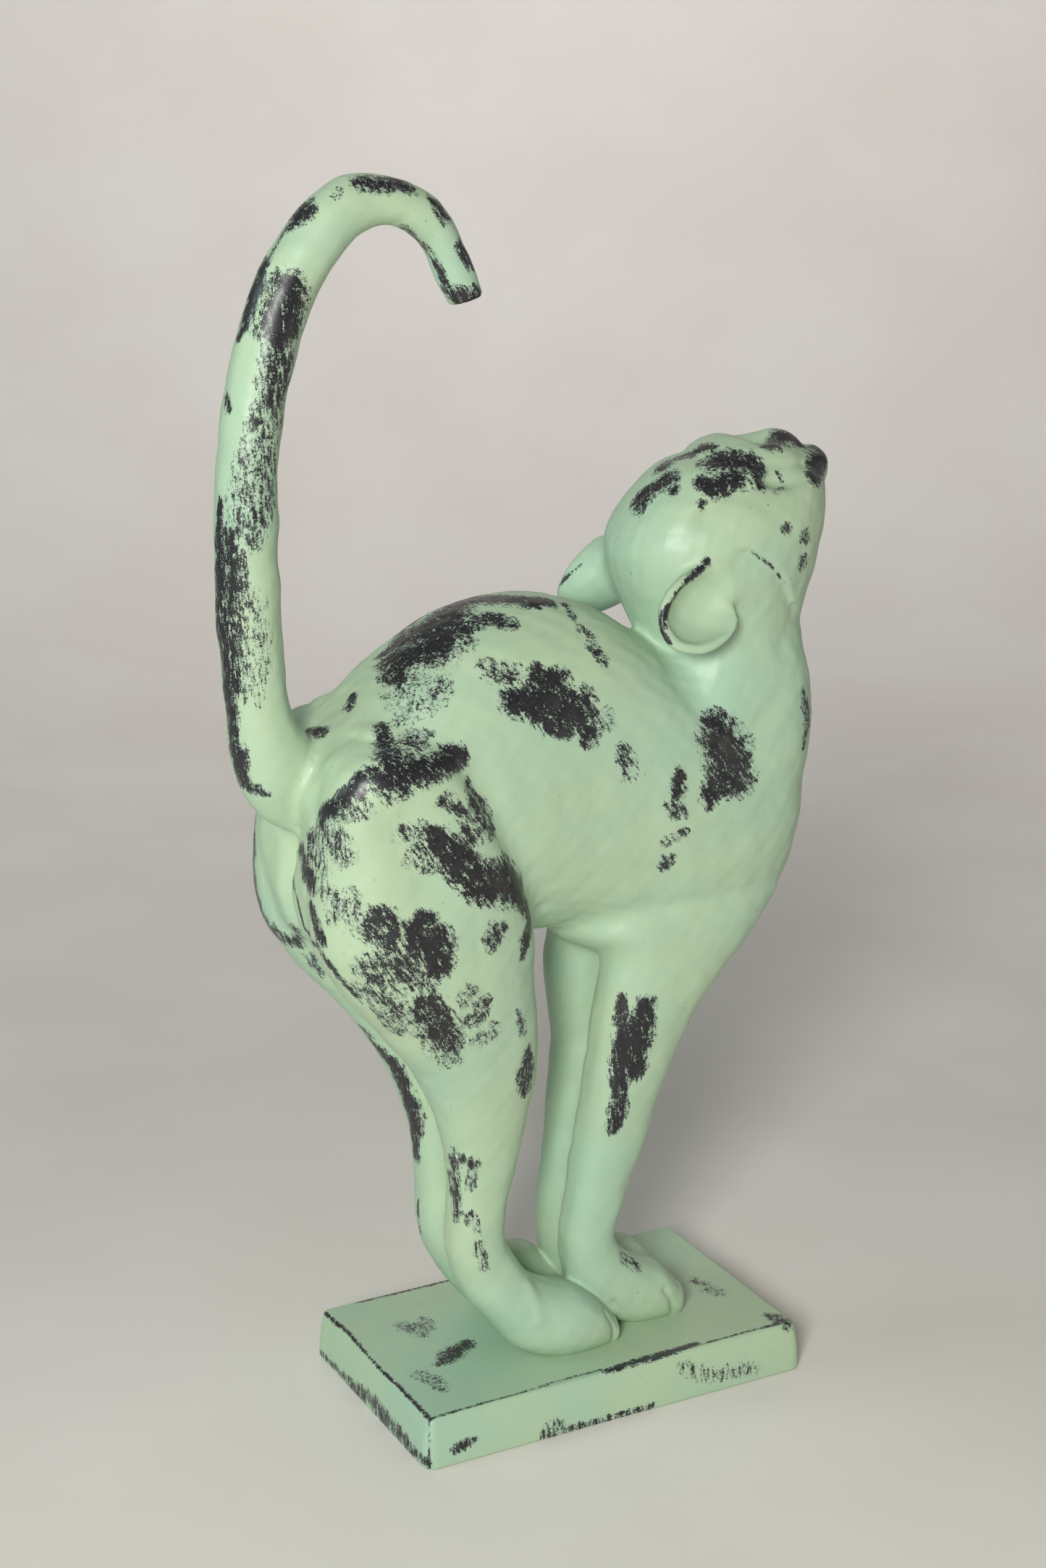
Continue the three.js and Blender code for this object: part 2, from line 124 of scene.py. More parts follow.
HIND_LEG = [
    [-96, 269, -80, 273, 22, 10],
    [-110, 261, -62, 264, 26, 18],
    [-115.5, 243, -48, 245, 27, 22],
    [-116.5, 225, -39, 226, 27, 23.5],
    [-118.5, 205, -31, 205, 27, 24],
    [-115, 186, -28.5, 187, 26.5, 23.5],
    [-103, 167, -28, 167, 26, 22],
    [-87.5, 148, -25.5, 149, 24.5, 20],
    [-72.5, 127, -24.5, 129, 22, 17.5],
    [-63.5, 106, -26.5, 109, 19.5, 14.5],
    [-58.8, 85, -30.5, 87, 17.5, 12.5],
    [-58, 67, -34.5, 69, 16, 12],
    [-58.5, 51, -35, 55, 15, 12],
    [-54, 35, -31.5, 45, 15.5, 12.5],
    [-43, 17, -24, 34, 17, 14],
    [-30, 3, -14, 29, 19, 15.5],
    [-15, -3, -5, 26, 20, 16.5],
    [0, -3, 4, 19, 20, 15.5],
    [10, -3, 12, 10, 20, 11.5],
]
FORELEG = [
    [20, 195, 94, 209, 16, 14],
    [16, 175, 91, 185, 16.5, 16],
    [11, 157, 77, 165, 16.5, 16],
    [8, 139, 59, 145, 16, 15],
    [6, 121, 48, 127, 15, 14],
    [3, 99, 38.5, 105, 14, 13],
    [0, 77, 31.5, 82, 13, 11.5],
    [-3, 57, 24, 62, 12.5, 11],
    [-4.5, 41, 18.5, 47, 12, 11],
    [-3, 25, 19, 37, 12, 11.5],
    [6, 9, 26, 29, 12, 12.5],
    [22, -1, 33, 25, 12, 13.5],
    [35, -3, 41, 21, 12, 13.5],
    [46, -3, 48, 13, 12, 11],
]
HIND_LEAN, HIND_INWARD = 1.5, 2
FORE_LEAN, FORE_INWARD, FORE_ELBOW_BACK = 2, 1, 9

# ------------------------------------------------------------------ joint faces and drilled holes
# A point on the glued face and the way it faces.
TAIL_FACE = ((-118.5, 0, 257.5), (-32, 0, 19))
NECK_FACE = ((40, 0, 279.5), (0.17, 0, 1))
HIP_FACE = ((-20, 0, 175.5), (-54, 0, -105))
SHOULDER_FACE = ((0, 0, 175.5), (0.185, 0, -1))
PAW_FACE = ((20, 16, 0), (0.575, -0.599, 0.557))

EAR_AT = np.array([41.5, 38, 306])
EAR_LONG = np.array([0.86, 0, 0.5])
EAR_FACING = np.array([-0.22, 0.93, 0.25])
EAR_HALF = (19.5, 15.5, 15)
EAR_LEFT_SHIFT = np.array([-4.5, 1.5, 1])

# ------------------------------------------------------------------ sizes taken from the frame
MM = 0.001
HOLE_GAP = 0.3 * MM
SCREW_SIDES = 24
plinth_low, plinth_high = (np.array(corner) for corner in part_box("plinth"))
tail_high = np.array(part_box("tail")[1])
PLINTH_TOP = plinth_high[2]


# ------------------------------------------------------------------ surfaces
def smooth_rows(rows, steps):
    """Rows on a Catmull-Rom curve: between two rows, their average weighted by cubic blends that
    also lean on the row before and the row after, with `steps` rows to each span."""
    p = np.asarray(rows, float)
    q = np.vstack([2 * p[0] - p[1], p, 2 * p[-1] - p[-2]])
    t = (np.arange(steps) / steps)[None, :, None]
    a, b, c, d = (q[i:len(p) - 1 + i, None, :] for i in range(4))
    curve = b + 0.5 * ((c - a) * t + (2 * a - 5 * b + 4 * c - d) * t**2 + (3 * b - a - 3 * c + d) * t**3)
    return np.vstack([curve.reshape(-1, p.shape[1]), p[-1:]])


def skin_faces(rings, sides):
    """Triangles of a tube of `rings` rings of `sides` points, closed by a pole before the first
    ring and another after the last: point i joins i+1 round the ring and i+sides along the tube."""
    i = np.arange((rings - 1) * sides)
    right = i - i % sides + (i + 1) % sides
    walls = np.vstack([np.stack([i, right, right + sides], 1),
                       np.stack([i, right + sides, i + sides], 1)])
    j = np.arange(sides)
    k = (j + 1) % sides
    first, last = rings * sides, rings * sides + 1
    end = first - sides
    fans = np.vstack([np.stack([0 * j + first, k, j], 1), np.stack([0 * j + last, end + j, end + k], 1)])
    return np.vstack([walls, fans])


def outward(points, faces):
    """The faces, turned round if the volume they enclose comes out negative."""
    corners = points[faces]
    volume = np.einsum("ij,ij->i", corners[:, 0], np.cross(corners[:, 1], corners[:, 2])).sum()
    return faces if volume > 0 else faces[:, ::-1]


def carved_mass(rows, square, start_cap, end_cap, side=0, sides=48, steps=5):
    """Oval sections carried along a smooth path. At angle a, a section's point is its centre, plus
    its half depth times cos(a), plus its half thickness times sin(a), each raised to 2/square so
    that the oval is a little squared off. Past each end the section shrinks as the square root of
    1 - f^2 while it moves on by the fraction f of the cap's length, which rounds the end."""
    r = smooth_rows(rows, steps)
    centre = np.stack([(r[:, 0] + r[:, 2]) / 2, side * r[:, 4], (r[:, 1] + r[:, 3]) / 2], 1)
    half = np.stack([(r[:, 0] - r[:, 2]) / 2, 0 * r[:, 0], (r[:, 1] - r[:, 3]) / 2], 1)
    thick = r[:, 5]
    share = np.array([0.25, 0.5, 0.72, 0.88, 0.97])

    def cap(end, inner, amount):
        """Centres of the shrinking rings past an end of the mass, and its pole."""
        along = centre[end] - centre[inner]
        along /= np.linalg.norm(along)
        length = 2 * amount * min(np.linalg.norm(half[end]), thick[end])
        return centre[end] + share[:, None] * along * length, centre[end] + along * length

    start, first_pole = cap(0, 1, start_cap)
    finish, last_pole = cap(-1, -2, end_cap)
    shrink = np.sqrt(1 - share**2)
    ring_centre = np.vstack([start[::-1], centre, finish])
    ring_half = np.vstack([shrink[::-1, None] * half[:1], half, shrink[:, None] * half[-1:]])
    ring_thick = np.concatenate([shrink[::-1] * thick[0], thick, shrink * thick[-1]])
    turn = np.linspace(0, 2 * np.pi, sides, endpoint=False)
    deep = np.sign(np.cos(turn)) * np.abs(np.cos(turn)) ** (2 / square)
    wide = np.sign(np.sin(turn)) * np.abs(np.sin(turn)) ** (2 / square)
    points = ring_centre[:, None] + ring_half[:, None] * deep[None, :, None]
    points[:, :, 1] += ring_thick[:, None] * wide[None, :]
    points = np.vstack([points.reshape(-1, 3), first_pole, last_pole])
    return points, outward(points, skin_faces(len(ring_centre), sides))


def set_left(points, lean, inward, elbow_back=0):
    """The left leg isn't quite the right one's mirror image: from the belly down to the plinth it
    comes forward by `lean` and inwards by `inward`, and its elbow is set back."""
    low = np.clip((180 - points[:, 2]) / 180, 0, 1)
    elbow = np.clip((points[:, 2] - 119) / 40, 0, 1) * np.clip((40 - points[:, 0]) / 30, 0, 1)
    return points + np.stack([lean * low - elbow_back * elbow, -inward * low, 0 * low], 1)


# ------------------------------------------------------------------ joining the masses
VOXEL = 1.0
REACH = 14.0
LOW = np.array([-152, -60, -8])
SIZE = np.array([284, 120, 488])
STEPS = np.round(SIZE / VOXEL).astype(int)
FIRST = np.round(LOW / VOXEL).astype(int)
lattice = vdb.createLinearTransform(voxelSize=VOXEL)


def window_of(low, high):
    """The lattice points between two corners: their slices, the first one's index, their places."""
    low = np.maximum(np.floor((low - LOW) / VOXEL).astype(int), 0)
    high = np.minimum(np.ceil((high - LOW) / VOXEL).astype(int) + 1, STEPS)
    slices = tuple(slice(a, b) for a, b in zip(low, high))
    return slices, FIRST + low, high - low


def depths(points, faces, first, size):
    """Signed distance of a block of lattice points to a closed surface, negative inside."""
    grid = vdb.FloatGrid.createLevelSetFromPolygons(
        points=points.astype(np.float32), triangles=faces.astype(np.uint32), transform=lattice,
        halfWidth=REACH / VOXEL)
    values = np.full(size, REACH, np.float32)
    grid.copyToArray(values, ijk=tuple(int(v) for v in first))
    return values


def joined(a, b, blend):
    """Both shapes with a fillet between them: the smaller distance, less a quarter of `blend` times
    the square of how nearly equal the two are."""
    near = np.maximum(blend - np.abs(a - b), 0) / np.maximum(blend, 1e-3)
    return np.minimum(a, b) - near * near * blend * 0.25


def merge(body, points, faces, blend):
    """Joins a mass to the body. The fillet is full where their surfaces meet square on and fades to
    none where they run the same way, so that two masses sharing a surface don't swell."""
    window, first, size = window_of(points.min(0) - 16, points.max(0) + 16)
    old = body[window]
    new = depths(points, faces, first, size)
    same_way = sum(np.gradient(old, axis=k) * np.gradient(new, axis=k) for k in range(3)) / VOXEL**2
    if np.ndim(blend):
        blend = blend[None, None, window[2]]
    body[window] = joined(old, new, (blend * np.clip(1 - same_way, 0, 1)).astype(np.float32))


def cut(a, b, blend):
    """Shape a with shape b cut away and the edge between them eased: joined() of the outsides."""
    return -joined(-a, b, blend)


def corner_box(centre, reach):
    """Slices of the lattice within `reach` of a point, and the places of those lattice points."""
    low = np.maximum(np.floor((centre - reach - LOW) / VOXEL).astype(int), 0)
    high = np.minimum(np.ceil((centre + reach - LOW) / VOXEL).astype(int) + 1, STEPS)
    axes = [(FIRST[k] + np.arange(low[k], high[k])) * VOXEL for k in range(3)]
    places = np.stack(np.meshgrid(*axes, indexing="ij"), -1)
    return tuple(slice(l, h) for l, h in zip(low, high)), places


def oval(places, centre, radii, axes=None):
    """Signed distance, near enough, to an ellipsoid: k0(k0 - 1)/k1, where k0 is the length of the
    place divided by the radii and k1 its length divided by their squares."""
    local = places - centre
    if axes is not None:
        local = local @ np.array(axes).T
    radii = np.array(radii, float)
    k0 = np.linalg.norm(local / radii, axis=-1) + 1e-6
    k1 = np.linalg.norm(local / radii**2, axis=-1) + 1e-6
    return k0 * (k0 - 1) / k1


def unit(v):
    """The same way, one long."""
    v = np.asarray(v, float)
    return v / np.linalg.norm(v)


def mirrored(v, side):
    """The distance from the middle plane taken to the side asked for."""
    return np.array([v[0], side * v[1], v[2]], float)


def ear_axes(side):
    """The ear's long way, the way across it and the way it faces, square to each other."""
    long = unit(mirrored(EAR_LONG, side))
    facing = mirrored(EAR_FACING, side)
    facing = unit(facing - long * (facing @ long))
    return np.array([long, np.cross(facing, long), facing])


def ears_added(body):
    """Each ear is the half of an ellipsoid below its rim plane, eased into the head and then
    hollowed by a smaller ellipsoid."""
    for side, centre in ((-1, mirrored(EAR_AT, -1)), (1, EAR_AT + EAR_LEFT_SHIFT)):
        axes = ear_axes(side)
        window, places = corner_box(centre, 34)
        bowl = oval(places, centre, EAR_HALF, axes)
        rim = (places - centre) @ axes[2]
        bowl = -joined(-bowl, -rim, 2.5)
        hollow = oval(places, centre + 1.5 * axes[2] + 1.3 * axes[0], (16.8, 12.4, 10.5), axes)
        forward = np.clip((places - centre) @ axes[0] / 14, 0, 1)
        body[window] = cut(joined(body[window], bowl, 5 if side < 0 else 13), hollow, 1.5 + 6 * forward)


def face_carved(body):
    """Ovals added between the forelegs under the chest, at the nose and at the lower lip, and ovals
    cut for the dip between brow and nose and for the eye sockets."""
    def add(centre, radii, blend):
        """Join an oval to the body with a fillet."""
        window, places = corner_box(np.array(centre, float), max(radii) + blend + 4)
        body[window] = joined(body[window], oval(places, np.array(centre, float), radii), blend)

    def hollow(centre, radii, blend):
        """Cut an oval out of the body with a soft edge."""
        window, places = corner_box(np.array(centre, float), max(radii) + blend + 4)
        body[window] = cut(body[window], oval(places, np.array(centre, float), radii), blend)

    add((27, 0, 175), (30, 30, 12), 9)
    add((97, 0, 358.5), (10, 8, 8), 5)
    add((113.5, 0, 351), (6.5, 9.5, 8), 4)
    hollow((84, 0, 371), (8, 16, 10), 5)
    for side in (-1, 1):
        hollow((86, side * 25, 357), (12, 5, 8), 5)


def whole_cat():
    """All the masses joined, with a wide fillet where the carver ran one into the next and hardly
    any between the two legs of a pair."""
    height = (FIRST[2] + np.arange(STEPS[2])) * VOXEL
    body = np.full(STEPS, REACH, np.float32)
    merge(body, *carved_mass(TRUNK, 2.2, 0.5, 0.5), 0)
    merge(body, *carved_mass(HEAD, 2.2, 0.3, 0.3), 12)
    merge(body, *carved_mass(MUZZLE, 2.2, 0.3, 0.25), 10)
    merge(body, *carved_mass(TAIL, 2.0, 0.5, 0.08), 3)
    for rows, high, low, lean, inward, elbow in (
        (HIND_LEG, 10, 2, HIND_LEAN, HIND_INWARD, 0),
        (FORELEG, 9, 2, FORE_LEAN, FORE_INWARD, FORE_ELBOW_BACK),
    ):
        blend = low + (high - low) * np.clip((height - 150) / 25, 0, 1)
        for side in (-1, 1):
            points, faces = carved_mass(rows, 2.3, 0.3, 0.3, side)
            if side == 1:
                points = set_left(points, lean, inward, elbow)
            merge(body, points, faces, blend)
    ears_added(body)
    face_carved(body)
    grid = vdb.FloatGrid()
    grid.transform = lattice
    grid.copyFromArray(body.astype(np.float32), ijk=tuple(int(v) for v in FIRST))
    points, triangles, quads = grid.convertToPolygons(0.0, 0.0)
    faces = np.vstack([quads[:, [0, 1, 2]], quads[:, [0, 2, 3]], triangles.reshape(-1, 3)])
    return points.astype(float), outward(points, faces)


# ------------------------------------------------------------------ the knife's and the rasp's marks
# A stroke is a path over the surface, its width, its depth (raised where negative) and its kind: a
# groove or ridge is the same on both sides of its path; a step drops on the side that `down` points
# to and comes back to the surface over `fade`.
STROKES = [
    ("haunch front", [(-56, 41, 254), (-50, 43, 241), (-41, 41, 224), (-32, 37, 206), (-25, 29, 193)],
     7, 1.9, None, 0),
    ("haunch top", [(-108, 42, 249), (-97, 43, 256)], 13, -2.0, None, 0),
    ("haunch middle", [(-92, 49, 238), (-80, 50, 224)], 13, 2.2, None, 0),
    ("between tail and haunch",
     [(-108, 31, 264), (-112, 27, 256), (-116, 18, 245), (-118, 6, 232), (-118, 0, 222)],
     7, 1.2, None, 0),
    ("between rump halves", [(-119, 0, 226), (-119, 0, 208), (-114, 0, 190)], 4, 2.5, None, 0),
    ("brow", [(51, 24.5, 344), (57, 24.5, 347.5), (64, 25.5, 350), (71, 27, 351), (77, 23, 353)],
     1.6, 2.2, (0.2, 0.6, -0.8), 12),
    ("eye", [(80, 25, 356), (83, 27, 352), (80, 29, 348)], 1.6, 0.9, None, 0),
    ("jaw", [(64, 35, 327), (75, 34, 320), (84, 32, 311), (90, 28, 302)], 2.0, 1.6, (0, 0.3, -1), 14),
    ("mouth", [(110, 0, 360), (110, 9, 355), (107, 14, 349), (101, 19, 343)], 1.4, 1.4, None, 0),
    ("hind toes", [(5, 31, 14), (8, 32, 8), (9, 32, 2)], 1.5, 1.2, None, 0),
    ("hind toes", [(13, 24, 14), (16, 25, 9), (18, 25, 1)], 1.4, 1.0, None, 0),
    ("hind toes", [(13, 15, 14), (16, 15, 9), (19, 15, 1)], 1.4, 1.0, None, 0),
    ("fore toes", [(37.5, 24.5, 14), (41, 24.5, 8), (43, 23, 1)], 1.5, 1.2, None, 0),
    ("fore toes", [(47, 14, 14), (50, 14, 10), (54, 14, 1)], 1.4, 1.1, None, 0),
    ("instep", [(-29, 27, 33), (-27, 30, 27), (-26, 32, 20)], 3, -1.0, None, 0),
]


def nearest_on(path, points):
    """Distance from every point to a path of straight pieces, and the vector from it."""
    best = np.full(len(points), 1e9)
    away = np.zeros((len(points), 3))
    for a, b in zip(path[:-1], path[1:]):
        along = b - a
        share = np.clip((points - a) @ along / (along @ along + 1e-9), 0, 1)
        offset = points - a - share[:, None] * along
        far = np.linalg.norm(offset, axis=1)
        closer = far < best
        best[closer] = far[closer]
        away[closer] = offset[closer]
    return best, away


def point_normals(points, faces):
    """At each point the sum of its faces' cross products, made one unit long."""
    corners = points[faces]
    cross = np.cross(corners[:, 1] - corners[:, 0], corners[:, 2] - corners[:, 0])
    total = np.zeros_like(points)
    for k in range(3):
        np.add.at(total, faces[:, k], cross)
    return total / (np.linalg.norm(total, axis=1, keepdims=True) + 1e-12)


def waves(points, length, seed):
    """A smooth random height over space: the mean of eight sine waves in seeded directions, about
    `length` from crest to crest."""
    chance = np.random.default_rng(seed)
    directions = chance.normal(size=(8, 3))
    pace = 2 * np.pi / length * chance.uniform(0.7, 1.4, 8)
    directions *= (pace / np.linalg.norm(directions, axis=1))[:, None]
    return np.sin(points @ directions.T + chance.uniform(0, 6.28, 8)).mean(1)


def carve_marks(points, faces):
    """Moves the skin along its normals: down a bell curve across each groove, off a step and back
    again, and up and down by a third of a millimetre where the knife wandered."""
    normals = point_normals(points, faces)
    depth = 0.75 * waves(points, 26, 4) + 0.3 * waves(points, 9, 5)
    depth *= np.clip(points[:, 2] / 6, 0, 1)
    for name, path, width, deep, down, fade in STROKES:
        for side in (-1, 1):
            line = np.array(path, float) * (1, side, 1)
            near = np.all((points > line.min(0) - 25) & (points < line.max(0) + 25), axis=1)
            far, away = nearest_on(line, points[near])
            if down is None:
                depth[near] += deep * np.exp(-((far / width) ** 2))
            else:
                below = away @ unit(np.array(down) * (1, side, 1))
                drop = np.clip(below / width + 0.5, 0, 1)
                drop = drop * drop * (3 - 2 * drop)
                ends = np.exp(-((np.maximum(far - np.abs(below), 0) / 6) ** 2))
                depth[near] += deep * drop * np.exp(-((np.maximum(below, 0) / fade) ** 2)) * ends
    return points - normals * depth[:, None]


# ------------------------------------------------------------------ where the paint is rubbed through, with a little painted shade and sheen
# Name, how far through (1 is bare black), and the path: X, Y, Z and half its width. A rub whose half
# width is over WIDE_RUB has a ragged outline.
WIDE_RUB = 2.2
RUBS_AND_PAINTED_LIGHT = [
    ("tail front, dark top", 0.95, [(-112, -11, 434, 3), (-115, -11, 430, 7), (-117, -11, 423, 7.5),
     (-118, -11, 416, 7.5)]),
    ("tail front, upper", 0.72, [(-118, -12, 414, 7), (-120, -12, 404, 6.5), (-120, -11, 395, 6)]),
    ("tail front, grey", 0.5, [(-121, -11, 393, 6), (-124, -12, 383, 8), (-127, -12, 371, 9),
     (-130, -12, 359, 9), (-133, -12, 346, 7)]),
    ("tail front, low", 0.8, [(-138, -8, 346, 4), (-139, -7, 335, 6), (-138, -8, 322, 6)]),
    ("tail front, foot", 0.85, [(-139, -7, 317, 4.5), (-139, -5, 303, 4), (-138, -6, 290, 4)]),
    ("tail front, specks", 0.3, [(-132, -12, 320, 7), (-131, -11, 303, 6), (-133, -11, 287, 5)]),
    ("tail back edge, high", 1, [(-120, -1, 438, 2.5), (-124, -2, 431, 3.5), (-127, -2, 421, 3),
     (-130, 0, 414, 1.5)]),
    ("tail back edge, middle", 0.9, [(-135, -1, 393, 1.5), (-136, -3, 390, 1.5)]),
    ("tail back edge, low", 1, [(-140, -3, 358, 1), (-141, -2, 342, 2), (-141, -1, 324, 3),
     (-141, -3, 308, 3.5), (-139, -2, 286, 3.5), (-138, -3, 273, 3), (-137, -4, 262, 4),
     (-135, -5, 253, 2)]),
    ("tail root, underneath", 0.85, [(-135, -1, 253, 2.5), (-132, -7, 251, 2), (-128, -10, 249, 1)]),
    ("tail shoulder", 0.95, [(-106, -2, 457, 4.5)]),
    ("tail shoulder, behind", 0.8, [(-110, -2, 452, 2)]),
    ("tail outer crease", 0.6, [(-101, -2, 461, 0.8), (-110, 0, 452, 0.8), (-119, -2, 440, 0.8)]),
    ("tail top", 0.85, [(-84, -7, 466, 3), (-76, -6, 467, 3.5), (-69, -5, 466, 3), (-65, -7, 464, 2)]),
    ("tail top, streaks", 0.4, [(-94, -7, 463, 2)]),
    ("tail over the top", 0.95, [(-56, -7, 459, 2), (-52, -7, 455, 3)]),
    ("tail towards tip", 0.85, [(-45, -6, 443, 2), (-42, -6, 438, 3)]),
    ("tail tip", 0.95, [(-47, -4, 426, 3), (-44, -6, 424, 3.5), (-40, -7, 425, 3)]),
    ("tail inside", 0.6, [(-66, -3, 450, 2), (-61, -1, 447, 2.5), (-56, -3, 441, 2)]),
    ("tail inside, low", 0.8, [(-54, -3, 437, 1.5), (-50, -3, 430, 1.5)]),
    ("tail root spots", 0.85, [(-105, 5, 266, 1.5), (-103, -5, 268, 2)]),
    ("rump spots", 0.8, [(-93, -6, 277, 2), (-90, -3, 280, 1.5)]),
    ("back ridge", 1, [(-73, 4, 293, 3), (-67, 2, 298, 6), (-59, -4, 303, 8), (-50, -3, 307, 8.5)]),
    ("back ridge, near side", 0.97, [(-74, -4, 290, 5), (-72, -8, 292, 7), (-62, -13, 296, 8),
     (-51, -13, 303, 6)]),
    ("back ridge, onwards", 1, [(-50, -3, 307, 6), (-39, 5, 310, 5), (-35, -1, 311, 4.5),
     (-27, -7, 311, 4), (-18, -11, 310, 3), (-10, -11, 309, 2)]),
    ("back ridge, under the gap", 0.8, [(-49, -14, 304, 4), (-39, -14, 307, 3), (-33, -19, 305, 3)]),
    ("back ridge, fringe left", 0.85, [(-77, -10, 290, 5), (-77, -16, 288, 4)]),
    ("back ridge, fringe", 0.6, [(-63, -18, 296, 6), (-52, -19, 300, 5)]),
    ("below the back ridge", 0.33, [(-78, -21, 284, 8), (-67, -27, 286, 7), (-80, -28, 277, 5)]),
    ("flank, left end", 0.58, [(-47, -29, 291, 3.5), (-39, -31, 288, 4)]),
    ("flank, top", 0.92, [(-27, -32, 286, 4), (-20, -34, 283, 6)]),
    ("flank, core", 1, [(-38, -35, 279, 5), (-29, -36, 277, 7), (-15, -36, 274, 7)]),
    ("flank, low", 0.9, [(-25, -38, 269, 4), (-17, -37, 267, 3)]),
    ("flank, right", 0.78, [(-8, -35, 276, 4), (-9, -36, 268, 5), (-8, -38, 261, 3.5)]),
    ("flank, right specks", 0.55, [(0, -36, 268, 3.5)]),
    ("flank, trailing off", 0.58, [(6, -38, 255, 3), (9, -38, 248, 4)]),
    ("hip, upper", 0.85, [(-90, -27, 274, 2), (-92, -34, 269, 4), (-92, -41, 265, 5.5)]),
    ("hip, fan", 0.58, [(-90, -40, 266, 5), (-81, -36, 269, 4), (-75, -35, 270, 2)]),
    ("hip, core", 0.88, [(-89, -43, 263, 6)]),
    ("hip, bar", 1, [(-97, -44, 259, 5), (-88, -45, 260, 5), (-76, -44, 261, 5), (-66, -40, 262, 4.5)]),
    ("hip, below", 0.6, [(-94, -45, 256, 5)]),
    ("haunch crest, top", 1, [(-104, -41, 260, 2), (-106, -41, 256, 3)]),
    ("haunch crest", 0.9, [(-106, -41, 256, 3), (-112, -37, 249, 3), (-115, -30, 242, 3)]),
    # black rubbed through on the haunch crest, held at grey where its sheen falls: a painted highlight
    ("haunch crest, painted sheen", 0.56, [(-115, -33, 240, 6), (-111, -38, 248, 5), (-105, -43, 248, 3)]),
    ("haunch crest, under", 0.53, [(-114, -36, 239, 7), (-111, -40, 232, 5)]),
    ("haunch crest, edge", 0.7, [(-117, -24, 235, 2.5), (-117, -24, 228, 2)]),
    ("haunch back", 0.95, [(-117, -13, 227, 2.5), (-118, -20, 222, 4), (-118, -26, 217, 3)]),
    ("haunch back, inside", 0.5, [(-116, -29, 230, 5), (-116, -31, 225, 4)]),
    ("thigh crease", 0.9, [(-117, -3, 221, 0.7), (-118, -7, 214, 0.84), (-118, -12, 207, 0.7),
     (-115, -12, 195, 0.84), (-117, -30, 194, 1.12), (-114, -34, 186, 1.26), (-106, -36, 175, 1.05)]),
    ("thigh back streak", 0.9, [(-119, -27, 208, 2), (-118, -29, 203, 2.2), (-117, -32, 197, 2)]),
    ("thigh back specks", 0.45, [(-116, -35, 217, 3), (-115, -38, 208, 3.5)]),
    ("thigh back specks, inner", 0.37, [(-110, -42, 216, 4), (-110, -43, 206, 5)]),
    ("thigh centre, left", 0.8, [(-102, -47, 210, 3), (-103, -46, 202, 4)]),
    ("thigh centre, speckled", 0.85, [(-98, -48, 207, 4), (-97, -49, 200, 6)]),
    ("thigh centre, between", 0.62, [(-91, -50, 198, 5)]),
    ("thigh centre, core", 1, [(-83, -51, 204, 4), (-87, -50, 199, 6), (-80, -50, 195, 7),
     (-77, -49, 186, 5)]),
    ("thigh centre, under", 0.7, [(-91, -49, 192, 6)]),
    ("thigh scumble, high", 0.6, [(-102, -45, 187, 7), (-91, -48, 185, 9), (-83, -49, 182, 5)]),
    ("thigh scumble, back", 0.47, [(-105, -40, 179, 4), (-97, -42, 171, 5), (-91, -40, 161, 4)]),
    ("thigh scumble, core", 0.85, [(-82, -48, 172, 4), (-80, -46, 165, 7), (-71, -44, 153, 6)]),
    ("thigh scumble, low", 0.5, [(-88, -45, 168, 6), (-77, -43, 153, 5), (-69, -42, 144, 4)]),
    ("knee specks", 0.52, [(-66, -49, 171, 4), (-58, -48, 167, 3), (-62, -47, 162, 4)]),
    ("knee specks, low", 0.38, [(-54, -45, 154, 4), (-60, -45, 151, 4)]),
    ("thigh upper specks", 0.47, [(-91, -49, 238, 4), (-84, -49, 239, 3)]),
    ("thigh upper specks, low", 0.52, [(-86, -50, 229, 5), (-80, -51, 225, 4)]),
    ("thigh diagonal", 1, [(-81, -49, 238, 2), (-77, -50, 233, 5), (-68, -50, 224, 7)]),
    ("thigh diagonal, low", 1, [(-66, -50, 222, 7), (-60, -50, 215, 6.5), (-48, -46, 214, 8),
     (-40, -43, 207, 6)]),
    ("hip hollow, left", 0.7, [(-74, -48, 249, 2.5), (-68, -48, 245, 2.5)]),
    ("hip hollow", 0.7, [(-61, -43, 252, 2), (-61, -45, 245, 3), (-57, -45, 241, 4.5), (-53, -45, 234, 3)]),
    ("hip hollow, low", 0.6, [(-64, -48, 238, 4), (-61, -48, 232, 4)]),
    ("groin", 0.95, [(-41, -44, 205, 4), (-34, -39, 196, 3), (-38, -43, 187, 2.5), (-40, -44, 182, 1.5)]),
    ("groin specks", 0.65, [(-52, -49, 196, 4), (-56, -49, 192, 3)]),
    ("knee front, high", 0.5, [(-42, -44, 159, 1.5), (-39, -42, 150, 2)]),
    ("shin front", 0.87, [(-36, -40, 141, 1.5), (-35, -38, 133, 3.5), (-35, -37, 128, 4),
     (-34, -35, 121, 2)]),
    ("far rump", 0.75, [(-116, 33, 224, 3), (-118, 32, 213, 3), (-117, 31, 196, 3), (-115, 29, 187, 4.5),
     (-112, 22, 181, 4), (-108, 14, 181, 2.5)]),
    ("far rump, streaks", 0.6, [(-113, 4, 189, 3), (-107, 14, 179, 2)]),
    ("far rump, low", 0.5, [(-102, 14, 173, 3), (-98, 15, 165, 2)]),
    ("far thigh streaks", 0.6, [(-78, 18, 137, 2), (-75, 19, 131, 3)]),
    ("far shin ridge", 1, [(-73, 18, 128, 3), (-68, 14, 122, 3.5), (-64, 14, 112, 4), (-60, 13, 99, 4),
     (-57, 16, 77, 2)]),
    ("far heel", 0.7, [(-57, 14, 59, 1), (-56, 15, 45, 1)]),
    ("shin ladder", 0.66, [(-60, -25, 98, 1.7), (-59, -22, 90, 2.98), (-58, -20, 77, 3.4),
     (-57, -21, 68, 2.55)]),
    ("shin side", 0.62, [(-58, -27, 95, 1.5), (-54, -29, 92, 3), (-54, -27, 84, 2)]),
